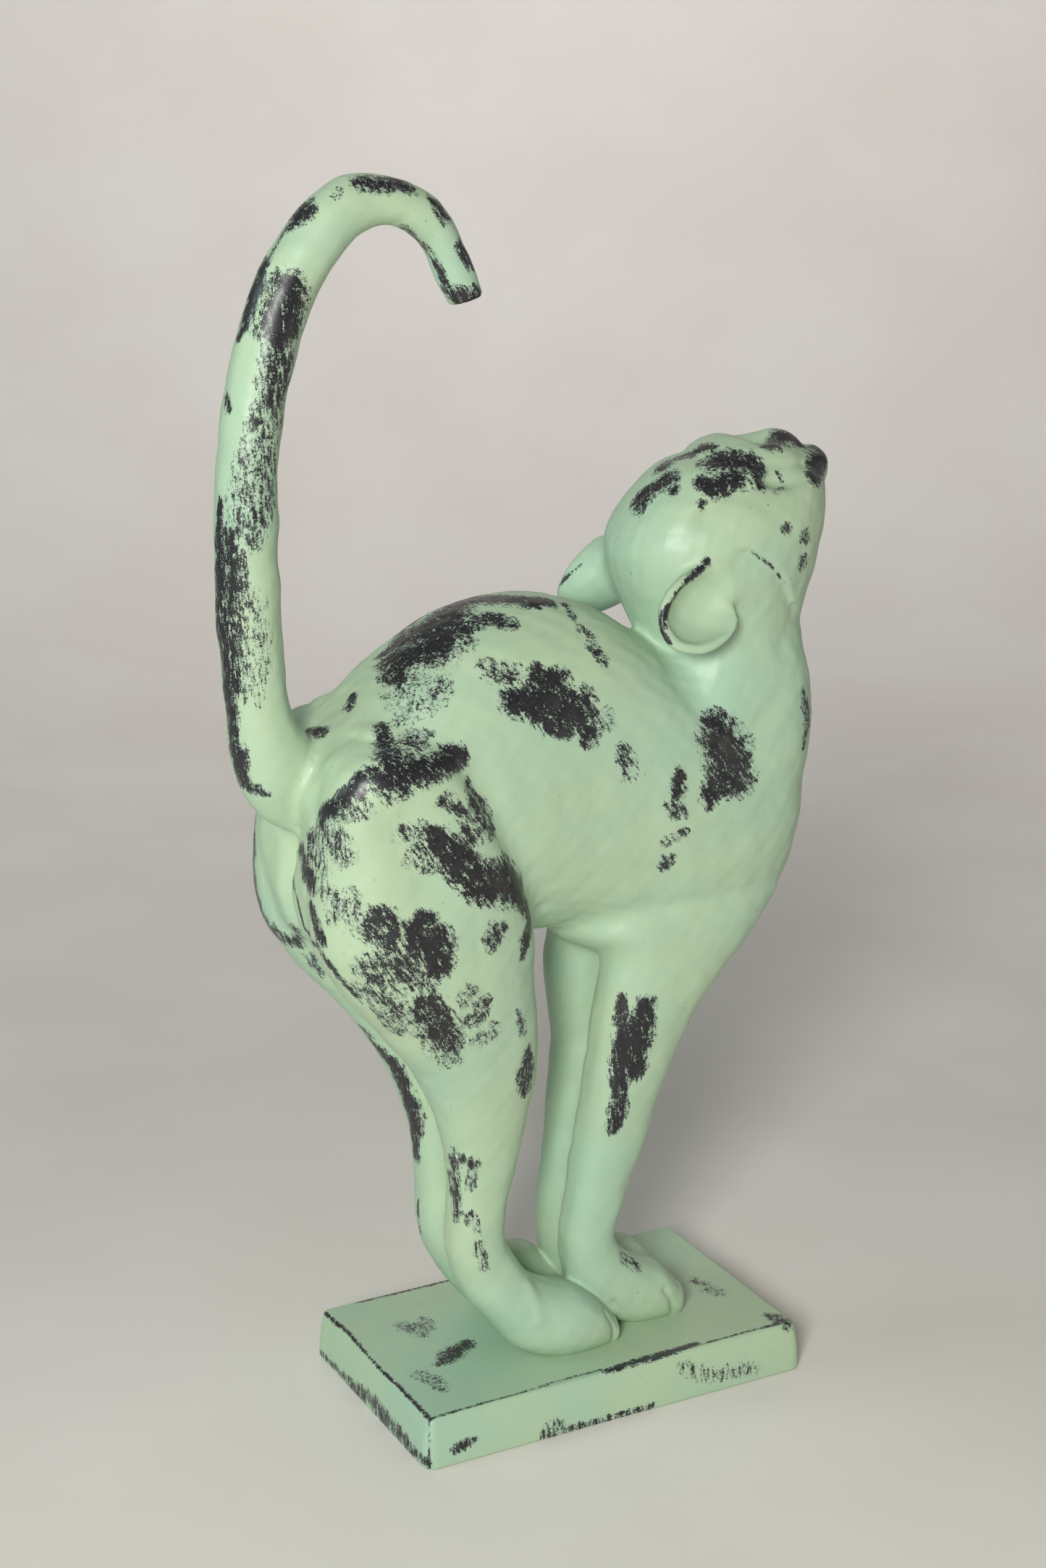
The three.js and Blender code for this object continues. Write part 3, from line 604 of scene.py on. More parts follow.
    ("shin side, low", 0.6, [(-54, -26, 70, 1.5), (-53, -26, 66, 2.5), (-52, -27, 62, 1.5)]),
    ("hock", 0.45, [(-50, -27, 57, 1.5), (-49, -27, 51, 2.5), (-48, -27, 46, 1.5)]),
    ("foreleg left streak", 1, [(14, -26, 149, 1.5), (15, -27, 136, 3), (14, -27, 119, 3),
     (12, -25, 93, 2)]),
    ("foreleg right streak", 1, [(23, -30, 146, 2.5), (22, -30, 132, 5), (19, -28, 117, 3)]),
    ("foreleg middle", 1, [(18, -29, 136, 6.6), (18, -28, 122, 5.5)]),
    # painted shade: grey laid where the hind paw and the forepaw shade each other
    ("gap between the paws, painted shade", 0.5, [(20, -20, 31, 2.5), (25, -20, 27, 3)]),
    ("chest", 1, [(52, -31, 258, 5), (53, -33, 252, 9), (58, -34, 246, 9)]),
    ("chest, low", 0.93, [(55, -36, 241, 10), (61, -36, 238, 7), (48, -37, 235, 5), (45, -38, 231, 3)]),
    ("chest tail", 0.85, [(46, -38, 229, 3)]),
    ("chest side", 0.95, [(33, -37, 242, 2), (31, -38, 236, 3)]),
    ("chest side, low", 0.75, [(28, -38, 230, 2.5), (31, -38, 227, 2.5), (35, -38, 225, 1)]),
    ("chest speck", 0.7, [(27, -35, 206, 3), (29, -36, 207, 2)]),
    ("chest specks", 0.45, [(35, -38, 218, 1.5), (27, -37, 215, 2)]),
    ("chest front edge", 0.72, [(93, -30, 266, 1.5), (97, -29, 256, 2.5), (98, -27, 250, 2.5),
     (95, -29, 243, 1.5)]),
    ("nape", 0.6, [(-4, -11, 308, 1.5), (-4, -17, 304, 1.5)]),
    ("nape, middle", 0.6, [(-3, -20, 300, 1.5), (2, -23, 297, 1.5)]),
    ("nape, low", 0.72, [(-1, -25, 294, 2), (2, -28, 290, 2.5)]),
    ("crown", 0.9, [(46, 2, 355, 3), (55, 2, 358, 3), (60, -1, 361, 3), (63, -7, 363, 2)]),
    ("back of head", 0.95, [(34, -3, 343, 4), (38, -5, 348, 3.5), (44, -8, 352, 3)]),
    ("back of head speck", 0.9, [(42, -13, 348, 2)]),
    ("brow", 0.95, [(59, -14, 358, 4), (67, -17, 358, 5), (75, -21, 355, 4), (73, -26, 352, 3)]),
    ("brow, low", 1, [(51, -19, 352, 2.5), (54, -23, 350, 4), (63, -24, 353, 4)]),
    ("temple speck", 0.9, [(48, -24, 344, 1.5)]),
    ("nose", 1, [(84, -14, 364, 3), (96, -7, 365, 4.5), (103, -6, 362, 4)]),
    ("chin", 1, [(114, -7, 358, 4), (109, -14, 353, 5), (101, -23, 350, 3)]),
    ("cheek spot 1", 0.7, [(81, -33, 333, 2)]),
    ("cheek spot 2", 0.7, [(92, -31, 329, 2.5)]),
    ("cheek spot 3", 0.7, [(91, -30, 318, 3)]),
    ("eye line", 0.6, [(85, -20, 353, 1), (86, -24, 349, 1), (80, -27, 347, 1)]),
    ("jaw line", 0.7, [(65, -34, 326, 0.48), (75, -33, 319, 0.48), (83, -30, 311, 0.48)]),
    ("ear rim", 1, [(46, -32, 323, 1.38), (39, -33, 318, 1.38), (35, -33, 315, 1.1), (29, -34, 309, 0.83),
     (25, -35, 304, 1.38), (24, -36, 299, 1.38), (26, -38, 295, 0.83)]),
    ("far ear rim", 0.9, [(26, 30, 313, 0.48), (20, 34, 307, 0.6), (19, 37, 301, 0.48)]),
    ("plinth blotch", 0.45, [(-61, 22, 0, 4), (-57, 16, 0, 6), (-51, 22, 0, 3)]),
    ("plinth streak", 0.87, [(-62, -13, 0, 2), (-54, -9, 0, 4), (-45, -4, 0, 3), (-42, -2, 0, 1.5)]),
    ("plinth blotch, near", 0.4, [(-72, -18, 0, 3), (-70, -25, 0, 4), (-70, -33, 0, 2.5)]),
    ("plinth far blotch", 0.4, [(68, -1, 0, 3), (70, -13, 0, 4)]),
    ("plinth right corner", 0.75, [(78, -41, 0, 2), (81, -49, 0, 3)]),
    ("plinth end arris", 0.9, [(-85, 50, -1, 0.66), (-84, 28, 0, 0.55), (-85, -1, 0, 0.66),
     (-84, -27, 0, 0.55), (-84, -50, 0, 0.77)]),
    ("plinth near corner", 0.85, [(-85, -51, -1, 0.55), (-86, -53, -10, 0.55), (-86, -53, -19, 0.77)]),
    ("plinth end, low", 0.7, [(-87, 51, -19, 1.05), (-87, 22, -18, 1.4), (-87, -6, -16, 2.8),
     (-87, -23, -17, 3.5), (-87, -40, -18, 2.1), (-87, -52, -17, 1.4)]),
    ("plinth front arris, thin", 0.75, [(-83, -50, 0, 0.44), (-50, -49, 0, 0.44), (-6, -48, 0, 0.44)]),
    ("plinth front arris", 1, [(-5, -50, 0, 1.05), (9, -49, 0, 1.4), (23, -49, 0, 1.4),
     (39, -48, 0, 1.05)]),
    ("plinth front arris, right", 0.8, [(39, -49, 0, 0.44), (65, -49, 0, 0.44), (82, -50, 0, 0.77)]),
    ("plinth front, low right", 0.34, [(31, -53, -6, 4), (41, -54, -13, 3), (63, -54, -14, 3)]),
    ("plinth front, low middle", 0.55, [(-33, -54, -17, 3), (-29, -54, -16, 3)]),
    ("plinth front, bottom edge", 0.65, [(-36, -54, -19, 1.2), (-10, -54, -19, 1.2), (14, -54, -19, 1)]),
    ("plinth front, small", 0.85, [(-75, -54, -14, 1.5), (-70, -54, -13, 1.5), (-66, -54, -12, 1)]),
    ("left back ridge", 0.9, [(-60, 14, 301, 6), (-40, 20, 306, 6), (-22, 22, 305, 4)]),
    ("left flank", 0.95, [(-30, 37, 272, 6), (-14, 39, 262, 8), (2, 38, 252, 6)]),
    ("left flank, trailing off", 0.55, [(6, 38, 240, 4), (12, 38, 230, 3)]),
    ("left hip", 0.95, [(-95, 44, 262, 5), (-78, 44, 262, 5)]),
    ("left haunch crest", 0.8, [(-119, 34, 243, 4), (-110, 42, 252, 3)]),
    ("left thigh", 1, [(-82, 50, 228, 4), (-68, 50, 218, 7), (-52, 47, 206, 6)]),
    ("left thigh centre", 0.85, [(-96, 48, 200, 6), (-84, 49, 192, 7)]),
    ("left thigh scumble", 0.48, [(-88, 46, 176, 8), (-72, 45, 158, 8)]),
    ("left shin", 0.85, [(-36, 36, 136, 4), (-35, 34, 124, 3)]),
    ("left hock", 0.7, [(-58, 26, 84, 3), (-57, 25, 66, 3)]),
    ("left foreleg", 1, [(24, 29, 148, 3), (22, 29, 130, 5), (18, 27, 112, 3)]),
    ("left chest", 0.95, [(56, 34, 250, 9), (60, 35, 236, 7)]),
    ("left chest, low", 0.6, [(44, 37, 224, 4)]),
    ("left cheek", 0.7, [(86, 33, 330, 3), (80, 34, 320, 2)]),
    ("left brow", 0.95, [(60, 20, 357, 4), (70, 23, 356, 4)]),
    ("left tail", 0.7, [(-122, 12, 392, 6), (-128, 12, 360, 7), (-130, 12, 330, 6)]),
    ("left tail, foot", 0.8, [(-128, 11, 286, 4), (-122, 11, 262, 3)]),
    ("front of chest", 0.6, [(108, 6, 262, 4), (108, 2, 246, 3)]),
    ("left plinth arris", 0.85, [(-70, 50, 0, 0.5), (-20, 50, 0, 0.8), (40, 50, 0, 0.5)]),
    ("left plinth, low", 0.55, [(-30, 54, -16, 4), (10, 54, -18, 3)]),
]


def wear_and_painted_light_at(points):
    """How far the paint is rubbed through, with the painted shade and sheen that are laid in as rubs: for each
    rub its strength, full to a third of its half width and gone a little past one and a half times it; the
    most of all the rubs. The points are first shifted by smooth random amounts, so that no wide rub has a
    plain outline."""
    shift = [1.8 * waves(points, 19, 11 + k) + 1.4 * waves(points, 7, 21 + k) for k in range(3)]
    moved = points + np.stack(shift, 1)
    wear_and_painted_light = np.zeros(len(points))
    for _, strength, path in RUBS_AND_PAINTED_LIGHT:
        for a, b in list(zip(path[:-1], path[1:])) or [(path[0], path[0])]:
            a, b = np.array(a, float), np.array(b, float)
            reach = 2 * max(a[3], b[3]) + 8
            low, high = np.minimum(a, b)[:3] - reach, np.maximum(a, b)[:3] + reach
            near = np.flatnonzero(np.all((points > low) & (points < high), axis=1))
            along = b[:3] - a[:3]
            places = moved[near] if max(a[3], b[3]) > WIDE_RUB else points[near]
            share = np.clip((places - a[:3]) @ along / (along @ along + 1e-9), 0, 1)
            width = a[3] + share * (b[3] - a[3])
            far = np.linalg.norm(places - a[:3] - share[:, None] * along, axis=1)
            outer = 1.6 * width + np.minimum(1.8, 0.8 * width)
            fall = np.clip((far - 0.33 * width) / (outer - 0.33 * width), 0, 1)
            wear_and_painted_light[near] = np.maximum(wear_and_painted_light[near], strength * (1 - fall * fall * (3 - 2 * fall)))
    return wear_and_painted_light


# ------------------------------------------------------------------ into Blender
scene = bpy.context.scene
cat_points, cat_faces = whole_cat()
SCALE = (tail_high[2] - PLINTH_TOP) / cat_points[:, 2].max()
cat_points = carve_marks(cat_points, cat_faces)


def placed(points):
    """Figure millimetres to metres in the frame."""
    return np.asarray(points, float) * SCALE + np.array([0, 0, PLINTH_TOP])


def put_mesh(name, points, faces, cut_face=False):
    """A mesh from points in metres and its faces, an array of triangles or a list of any faces. Its
    first material is the painted skin's, its second the cut face's."""
    mesh = bpy.data.meshes.new(name)
    if isinstance(faces, list):
        mesh.from_pydata(points.tolist(), [], faces)
    else:
        mesh.vertices.add(len(points))
        mesh.vertices.foreach_set("co", points.astype(np.float32).ravel())
        mesh.loops.add(faces.size)
        mesh.loops.foreach_set("vertex_index", faces.astype(np.int32).ravel())
        mesh.polygons.add(len(faces))
        mesh.polygons.foreach_set("loop_start", np.arange(0, faces.size, 3, dtype=np.int32))
        mesh.update(calc_edges=True)
    mesh.materials.append(None)
    mesh.materials.append(None)
    if cut_face:
        mesh.polygons.foreach_set("material_index", np.ones(len(mesh.polygons), np.int32))
    thing = bpy.data.objects.new(name, mesh)
    scene.collection.objects.link(thing)
    return thing


# ------------------------------------------------------------------ tools that part the figure
def block(outline, low, high):
    """A closed outline in X and Z, carried along Y from `low` to `high`."""
    n = len(outline)
    points = np.array([(x, y, z) for y in (low, high) for x, z in outline], float)
    walls = [(i, (i + 1) % n, (i + 1) % n + n, i + n) for i in range(n)]
    faces = [tuple(range(n))[::-1], tuple(range(n, 2 * n))] + walls
    first, second, third = (points[[wall[k] for wall in walls]] for k in range(3))
    facing = np.cross(second - first, third - first)
    outwards = np.einsum("ij,ij->i", facing, first - points.mean(0)).sum() > 0
    return points, faces if outwards else [face[::-1] for face in faces]


def bar(middle, along, half_length, radius, sides=24):
    """A round bar: a circle carried along a straight line."""
    along = unit(along)
    across = unit(np.cross(along, (0.3, 1, 0.2)))
    other = np.cross(along, across)
    turn = np.linspace(0, 2 * np.pi, sides, endpoint=False)
    circle = radius * (np.cos(turn)[:, None] * across + np.sin(turn)[:, None] * other)
    points = np.vstack([middle - along * half_length + circle, middle + along * half_length + circle])
    walls = [(i, (i + 1) % sides, (i + 1) % sides + sides, i + sides) for i in range(sides)]
    return points, [tuple(range(sides))[::-1], tuple(range(sides, 2 * sides))] + walls


def shaped(name, base, tools):
    """A copy of `base` after each tool in turn has been cut from it or has kept only what it holds."""
    piece = bpy.data.objects.new(name, base.data)
    scene.collection.objects.link(piece)
    for operation, tool in tools:
        step = piece.modifiers.new("cut", "BOOLEAN")
        step.solver = "MANIFOLD"
        step.operation = operation
        step.object = tool
    made = bpy.data.meshes.new_from_object(piece.evaluated_get(bpy.context.evaluated_depsgraph_get()))
    piece.modifiers.clear()
    made.name = name
    piece.data = made
    return piece


FOUR_CORNERS = [(-1, -1), (1, -1), (1, 1), (-1, 1)]
BOX_FACES = [(3, 2, 1, 0), (4, 5, 6, 7), (0, 1, 5, 4), (1, 2, 6, 5), (2, 3, 7, 6), (3, 0, 4, 7)]


def beyond(face, size):
    """A big box on the far side of a glued face."""
    at, facing = np.array(face[0], float), unit(face[1])
    across = unit(np.cross(facing, (0.1, 1, 0.3)))
    other = np.cross(facing, across)
    points = np.array([at + size * (i * across + j * other) + depth * facing
                       for depth in (0, 2 * size) for i, j in FOUR_CORNERS])
    return points, BOX_FACES


def height_of(face, x):
    """Height of a glued face over X."""
    (at_x, _, at_z), (nx, _, nz) = face
    return at_z - nx / nz * (x - at_x)


whole = put_mesh("whole", placed(cat_points), cat_faces)


def tool(name, points, faces):
    """A cutting shape, given in figure millimetres, that leaves cut faces."""
    return put_mesh(name, placed(points), faces, cut_face=True)


def hole_for(node):
    """The hole for a dowel: its own axis, found as the main direction of its points, and the drilling
    clearance all round."""
    points = np.array([v.co for v in frame["nodes"][node].data.vertices])
    middle = (points.min(0) + points.max(0)) / 2
    along = np.linalg.svd(points - middle, full_matrices=False)[2][0]
    reach = (points - middle) @ along
    radius = np.linalg.norm(points - middle - reach[:, None] * along, axis=1).max()
    return bar(middle, along, np.abs(reach).max() + HOLE_GAP, radius + HOLE_GAP)


dowels = [n for n in frame["nodes"] if "dowel" in n or "peg" in n]
screws = [n for n in frame["nodes"] if "screw" in n]


def screw_hole(node):
    """The hole for a base screw: a ring carried up a profile, wide for the head, narrow above."""
    low, high = (np.array(c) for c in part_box(node))
    x, y = (low[:2] + high[:2]) / 2
    head = (high[0] - low[0]) / 2 + HOLE_GAP
    shank = 2 * MM + HOLE_GAP
    profile = [(head, -1 * MM), (head, low[2] + 0.6 * MM), (shank, low[2] + 3 * MM),
               (shank, high[2] + HOLE_GAP)]
    turn = np.linspace(0, 2 * np.pi, SCREW_SIDES, endpoint=False)
    rings = [np.stack([x + r * np.cos(turn), y + r * np.sin(turn), 0 * turn + z], 1) for r, z in profile]
    last = (len(profile) - 1) * SCREW_SIDES
    walls = [(k + i, k + (i + 1) % SCREW_SIDES, k + SCREW_SIDES + (i + 1) % SCREW_SIDES, k + SCREW_SIDES + i)
             for k in range(0, last, SCREW_SIDES) for i in range(SCREW_SIDES)]
    ends = [tuple(range(SCREW_SIDES))[::-1], tuple(range(last, last + SCREW_SIDES))]
    return np.vstack(rings), ends + walls


def gathered(shapes):
    """Several closed shapes in one mesh."""
    points, faces, count = [], [], 0
    for p, f in shapes:
        points.append(p)
        faces += [tuple(i + count for i in face) for face in f]
        count += len(p)
    return np.vstack(points), faces


drilled = [hole_for(n) for n in dowels] + [screw_hole(n) for n in screws]
holes = put_mesh("holes", *gathered(drilled), cut_face=True)
tail_tool = tool("tail_tool", *beyond(TAIL_FACE, 300))
neck_outline = [(38, 279.5), (140, height_of(NECK_FACE, 140)), (140, 378), (-31, 378)]
head_tool = tool("head_tool", *block(neck_outline, -60, 60))
above = tool("above", *block([(-160, 0), (160, 0), (160, 500), (-160, 500)], -70, 70))
hip_outline = [(-160, height_of(HIP_FACE, -160)), (-12, height_of(HIP_FACE, -12)), (-12, 60), (34, 60),
               (34, -9), (-160, -9)]
shoulder_outline = [(-17, height_of(SHOULDER_FACE, -17)), (130, height_of(SHOULDER_FACE, 130)),
                    (130, -9), (-17, -9)]


def legs_parted(name, side):
    """A hind leg and a foreleg: what lies below the hip and shoulder faces on one side of the middle
    plane, parted from each other between the two paws."""
    low, high = sorted((0, side * 62))
    paw = tool("paw", *beyond([mirrored(v, side) for v in PAW_FACE], 200))
    shoulder = tool("shoulder", *block(shoulder_outline, low, high))
    fore = shaped("fore_tool_" + name, shoulder, [("INTERSECT", paw)])
    hip = tool("hip", *block(hip_outline, low, high))
    finishing = [("INTERSECT", above), ("DIFFERENCE", holes)]
    pieces["foreleg_" + name] = shaped("cat_foreleg_" + name, whole, [("INTERSECT", fore)] + finishing)
    pieces["hind_leg_" + name] = shaped(
        "cat_hind_leg_" + name, whole, [("INTERSECT", hip), ("DIFFERENCE", fore)] + finishing)


def ear_tool(name, side):
    """A box round one ear, less the plain mass of the head."""
    centre = mirrored(EAR_AT, side) + (EAR_LEFT_SHIFT if side == 1 else 0)
    axes = ear_axes(side)
    corners = np.array([(23 * i, 19 * j, k) for k in (-17, 8) for i, j in FOUR_CORNERS], float)
    faces = BOX_FACES if np.linalg.det(axes) > 0 else [face[::-1] for face in BOX_FACES]
    core = tool("core", *carved_mass(HEAD, 2.2, 0.3, 0.3))
    box = tool("ear_box", corners @ axes + centre, faces)
    return shaped("ear_tool_" + name, box, [("DIFFERENCE", core)])


pieces = {}
ear_tools = {}
for name, side in (("right", -1), ("left", 1)):
    legs_parted(name, side)
    ear_tools[name] = ear_tool(name, side)
for name, ear in ear_tools.items():
    pieces["ear_" + name] = shaped(
        "cat_ear_" + name, whole, [("INTERSECT", head_tool), ("INTERSECT", ear), ("DIFFERENCE", holes)])
pieces["head"] = shaped(
    "cat_head", whole,
    [("INTERSECT", head_tool)] + [("DIFFERENCE", ear) for ear in ear_tools.values()] + [("DIFFERENCE", holes)])
pieces["tail"] = shaped("cat_tail", whole, [("INTERSECT", tail_tool), ("DIFFERENCE", holes)])
both_hips = tool("both_hips", *block(hip_outline, -62, 62))
both_shoulders = tool("both_shoulders", *block(shoulder_outline, -62, 62))
pieces["trunk"] = shaped(
    "cat_trunk", whole,
    [("DIFFERENCE", cutter) for cutter in (tail_tool, head_tool, both_hips, both_shoulders, holes)])


# ------------------------------------------------------------------ the plinth
def plinth_skin():
    """A rounded rectangle carried up a profile. Round the rectangle, points go at even steps; up the
    profile it grows from the middle of the underside to the swelling sides, over the eased arris and
    back to the middle of the top. The arris wanders by a few tenths of a millimetre."""
    half = (plinth_high - plinth_low)[:2] / 2 / MM
    height = PLINTH_TOP / MM
    corner, flare, ease = 4.8, 2.5, 1.2
    turn = np.linspace(0, np.pi / 2, 7) + np.arange(4)[:, None] * np.pi / 2
    centres = np.array([(1, 1), (-1, 1), (-1, -1), (1, -1)])[:, None] * (half - corner)
    loop = (centres + corner * np.stack([np.cos(turn), np.sin(turn)], -1)).reshape(-1, 2)
    loop = np.vstack([loop, loop[:1]])
    walk = np.concatenate([[0], np.cumsum(np.linalg.norm(np.diff(loop, axis=0), axis=1))])
    even = np.linspace(0, walk[-1], 420, endpoint=False)
    ring = np.stack([np.interp(even, walk, loop[:, 0]), np.interp(even, walk, loop[:, 1])], 1)
    outwards = ring - np.clip(ring, -half + corner, half - corner)
    outwards /= np.linalg.norm(outwards, axis=1, keepdims=True)
    sides = np.linspace(ease, height - ease, 14)
    bend = np.linspace(0, np.pi / 2, 5)[1:]
    out = np.concatenate([[-2.5, -1.2, -0.35, -0.02], -flare * (sides / height) ** 2.2,
                          -flare - ease * (1 - np.cos(bend))])
    up = np.concatenate([[0, 0, 0.35, 1], sides, height - ease + ease * np.sin(bend)])
    wander = 0.25 * (up / height)[:, None] ** 3 * (1 + waves(np.column_stack([ring, 0 * even]), 17, 8))
    rings = np.empty((len(up), len(ring), 3))
    rings[:, :, :2] = ring + (out[:, None] - wander)[:, :, None] * outwards
    rings[:, :, 2] = up[:, None]
    under = rings[0] * np.stack([np.linspace(0.03, 0.97, 16)] * 2 + [np.ones(16)], 1)[:, None]
    top = rings[-1] * np.stack([np.linspace(0.985, 0.02, 40)] * 2 + [np.ones(40)], 1)[:, None]
    rings = np.concatenate([under, rings, top])
    points = np.vstack([rings.reshape(-1, 3), [(0, 0, 0), (0, 0, height)]])
    return points, outward(points, skin_faces(len(rings), len(ring)))


plinth_points, plinth_faces = plinth_skin()
board = put_mesh("board", plinth_points * MM, plinth_faces)
pieces["plinth"] = shaped("cat_plinth", board, [("DIFFERENCE", holes)])


# ------------------------------------------------------------------ finishes
class Finish:
    """A material whose nodes are added one at a time; each call gives back the new node's outputs."""

    def __init__(self, name):
        self.material = bpy.data.materials.new(name)
        self.material.use_nodes = True
        self.tree = self.material.node_tree
        self.shader = self.tree.nodes["Principled BSDF"]

    def set(self, node, name, value):
        """Join an input to another node's output, or give it a value."""
        socket = node.inputs[name]
        if isinstance(value, bpy.types.NodeSocket):
            self.tree.links.new(value, socket)
        else:
            socket.default_value = value

    def add(self, kind, inputs, **settings):
        """A shader node of a kind, its settings and inputs given; its outputs come back."""
        node = self.tree.nodes.new("ShaderNode" + kind)
        for name, value in settings.items():
            setattr(node, name, value)
        for name, value in inputs.items():
            self.set(node, name, value)
        return node.outputs

    def coat(self, **inputs):
        """Set the surface's own inputs, named with _ for a space."""
        for name, value in inputs.items():
            self.set(self.shader, name.replace("_", " "), value)

    def sum(self, a, b, operation="ADD"):
        """Two values put through a plain sum, or another operation."""
        return self.add("Math", {0: a, 1: b}, operation=operation)[0]

    def turned(self, where, turn, stretch):
        """The place, turned and then stretched along the axes."""
        faced = self.add("Mapping", {"Vector": where, "Rotation": turn})[0]
        return self.add("Mapping", {"Vector": faced, "Scale": stretch})[0]

    def noise(self, where, scale, detail=2.0, rough=0.5, distortion=0.0):
        """Smooth random values round a half."""
        return self.add("TexNoise", {"Vector": where, "Scale": scale, "Detail": detail,
                                     "Roughness": rough, "Distortion": distortion})[0]

    def ramp(self, value, low, high, to_low=0.0, to_high=1.0, smooth=True):
        """A value between two levels, spread over two others."""
        return self.add("MapRange", {"Value": value, "From Min": low, "From Max": high, "To Min": to_low,
                                     "To Max": to_high},
                        interpolation_type="SMOOTHSTEP" if smooth else "LINEAR")[0]

    def mix(self, share, a, b):
        """One colour passing into another by a share."""
        node = self.tree.nodes.new("ShaderNodeMix")
        node.data_type = "RGBA"
        self.set(node, 0, share)
        self.set(node, 6, a)
        self.set(node, 7, b)
        return node.outputs[2]

    def bump(self, height, strength, distance, under=None):
        """A surface direction tilted by a height, on top of an earlier one if given."""
        inputs = {"Height": height, "Strength": strength, "Distance": distance}
        if under is not None:
            inputs["Normal"] = under
        return self.add("Bump", inputs)[0]


def rubbed_paint(name, broad, lattice_turn):
    """Mint green brushed over a black ground. The rubbed field, broken up by a noise with many finer octaves
    and by a noise drawn out along the rubbing, is cut at a level: above it the black shows. Just below it the
    green is only thinned and looks grey. The same field also lays in a little painted shade and a painted
    sheen as grey and black.
    Loose grains of either colour lie across the edge."""
    f = Finish(name)
    where = f.add("TexCoord", {})["Object"]
    wear_and_painted_light = f.add("Attribute", {}, attribute_name="wear_and_painted_light")["Fac"]
    slant = f.add("Attribute", {}, attribute_name="slant")["Fac"]
    upright = f.noise(f.turned(where, (0, 0.08, 0), (1, 1, 0.2)), 800, 6, 0.70)
    across = f.noise(f.turned(where, (0, math.radians(-55), 0), (0.2, 1, 1)), 800, 6, 0.70)
    drag = f.add("Mix", {0: slant, 2: upright, 3: across}, data_type="FLOAT")[0]
    patchy = f.noise(where, 240, 7, 0.80, 0.2)
    weave_a = f.noise(f.turned(where, (0, math.radians(lattice_turn), 0), (1, 1, 0.3)), 2600, 2, 0.5)
    weave_b = f.noise(f.turned(where, (0, math.radians(lattice_turn), 0), (0.3, 1, 1)), 2600, 2, 0.5)
    grain = f.sum(weave_a, weave_b, "MAXIMUM")
    # how much is bare, painted shade and sheen included
    touched = f.ramp(wear_and_painted_light, 0.0, 0.22)
    ragged = f.sum(f.sum(f.sum(patchy, 0.5, "SUBTRACT"), 2.6, "MULTIPLY"),
                   f.sum(f.sum(drag, 0.5, "SUBTRACT"), 2.8, "MULTIPLY"))
    ragged = f.sum(ragged, f.sum(f.sum(grain, 0.56, "SUBTRACT"), 2.2, "MULTIPLY"))
    bare = f.sum(wear_and_painted_light, f.sum(ragged, touched, "MULTIPLY"))
    black = f.ramp(bare, 0.50, 0.60)
    thin = f.sum(f.ramp(bare, 0.12, 0.55, 0.0, 0.75), f.ramp(wear_and_painted_light, 0.05, 0.4), "MULTIPLY")
    # colours
    tone = f.noise(where, 15, 4, 0.55)
    brushed = f.noise(f.turned(where, (0.3, 0.5, 0), (1, 1, 0.12)), 420, 3, 0.6)
    mint = f.mix(f.ramp(tone, 0.32, 0.66), PAINT[0], PAINT[1])
    mint = f.mix(f.ramp(brushed, 0.3, 0.75, 0, 0.16), mint, PAINT[2])
    fleck = f.ramp(f.noise(where, 520, 2, 0.5), 0.745, 0.775)
    mint = f.mix(f.sum(fleck, 0.6, "MULTIPLY"), mint, (0.09, 0.11, 0.09, 1))
    scumble = f.mix(thin, mint, (0.15, 0.185, 0.185, 1))
    ground = f.mix(f.ramp(patchy, 0.35, 0.7), (0.009, 0.0085, 0.010, 1), (0.026, 0.024, 0.028, 1))
    colour = f.mix(black, scumble, ground)
    rough = f.ramp(f.noise(where, 160, 3, 0.6), 0.3, 0.7, 0.42, 0.56)
    glossy = f.ramp(drag, 0.35, 0.65, 0.26, 0.46)
    rough = f.add("Mix", {0: black, 2: rough, 3: glossy}, data_type="FLOAT")[0]
    # relief: the film's thickness, brush drag and the tool's faint unevenness
    film = f.bump(f.sum(1.0, black, "SUBTRACT"), 0.6, 0.00015)
    drawn = f.bump(brushed, 0.35, 0.00010, film)
    uneven = f.bump(f.noise(where, broad, 3, 0.55), 0.5, 0.00045, drawn)
    f.coat(Base_Color=colour, Roughness=rough, Normal=uneven, IOR=1.46)
    f.coat(Coat_Weight=0.06, Coat_Roughness=0.28)
    return f.material


def bare_wood(name, pale, dark, ring):
    """Close-grained wood: long streaks along X and Z crossed by faint growth rings."""
    f = Finish(name)
    where = f.add("TexCoord", {})["Object"]
    streak = f.noise(f.turned(where, (0, 0.4, 0), (1, 1, 0.06)), 900, 4, 0.6)
    rings = f.add("TexWave", {"Vector": where, "Scale": ring, "Distortion": 5.0, "Detail": 2.0,
                              "Detail Scale": 1.4})[1]
    share = f.sum(f.sum(streak, 0.65, "MULTIPLY"), f.sum(rings, 0.35, "MULTIPLY"))
    colour = f.mix(f.ramp(share, 0.25, 0.75), pale, dark)
    f.coat(Base_Color=colour, Roughness=f.ramp(streak, 0.3, 0.7, 0.6, 0.8), IOR=1.45,
           Normal=f.bump(share, 0.4, 0.0002))
    return f.material


def zinc_plate(name):
    """Bright zinc on steel: fine turning marks and a cloudy roughness."""
    f = Finish(name)
    where = f.add("TexCoord", {})["Object"]
    marks = f.noise(f.turned(where, (0, 0, 0), (0.2, 0.2, 1)), 4200, 2, 0.5)
    cloud = f.noise(where, 700, 3, 0.6)
    colour = f.mix(f.ramp(cloud, 0.3, 0.7), (0.52, 0.53, 0.55, 1), (0.66, 0.66, 0.66, 1))
    f.coat(Base_Color=colour, Roughness=f.ramp(cloud, 0.3, 0.7, 0.24, 0.42), Metallic=1.0,
           Normal=f.bump(marks, 0.3, 0.00005))
    return f.material


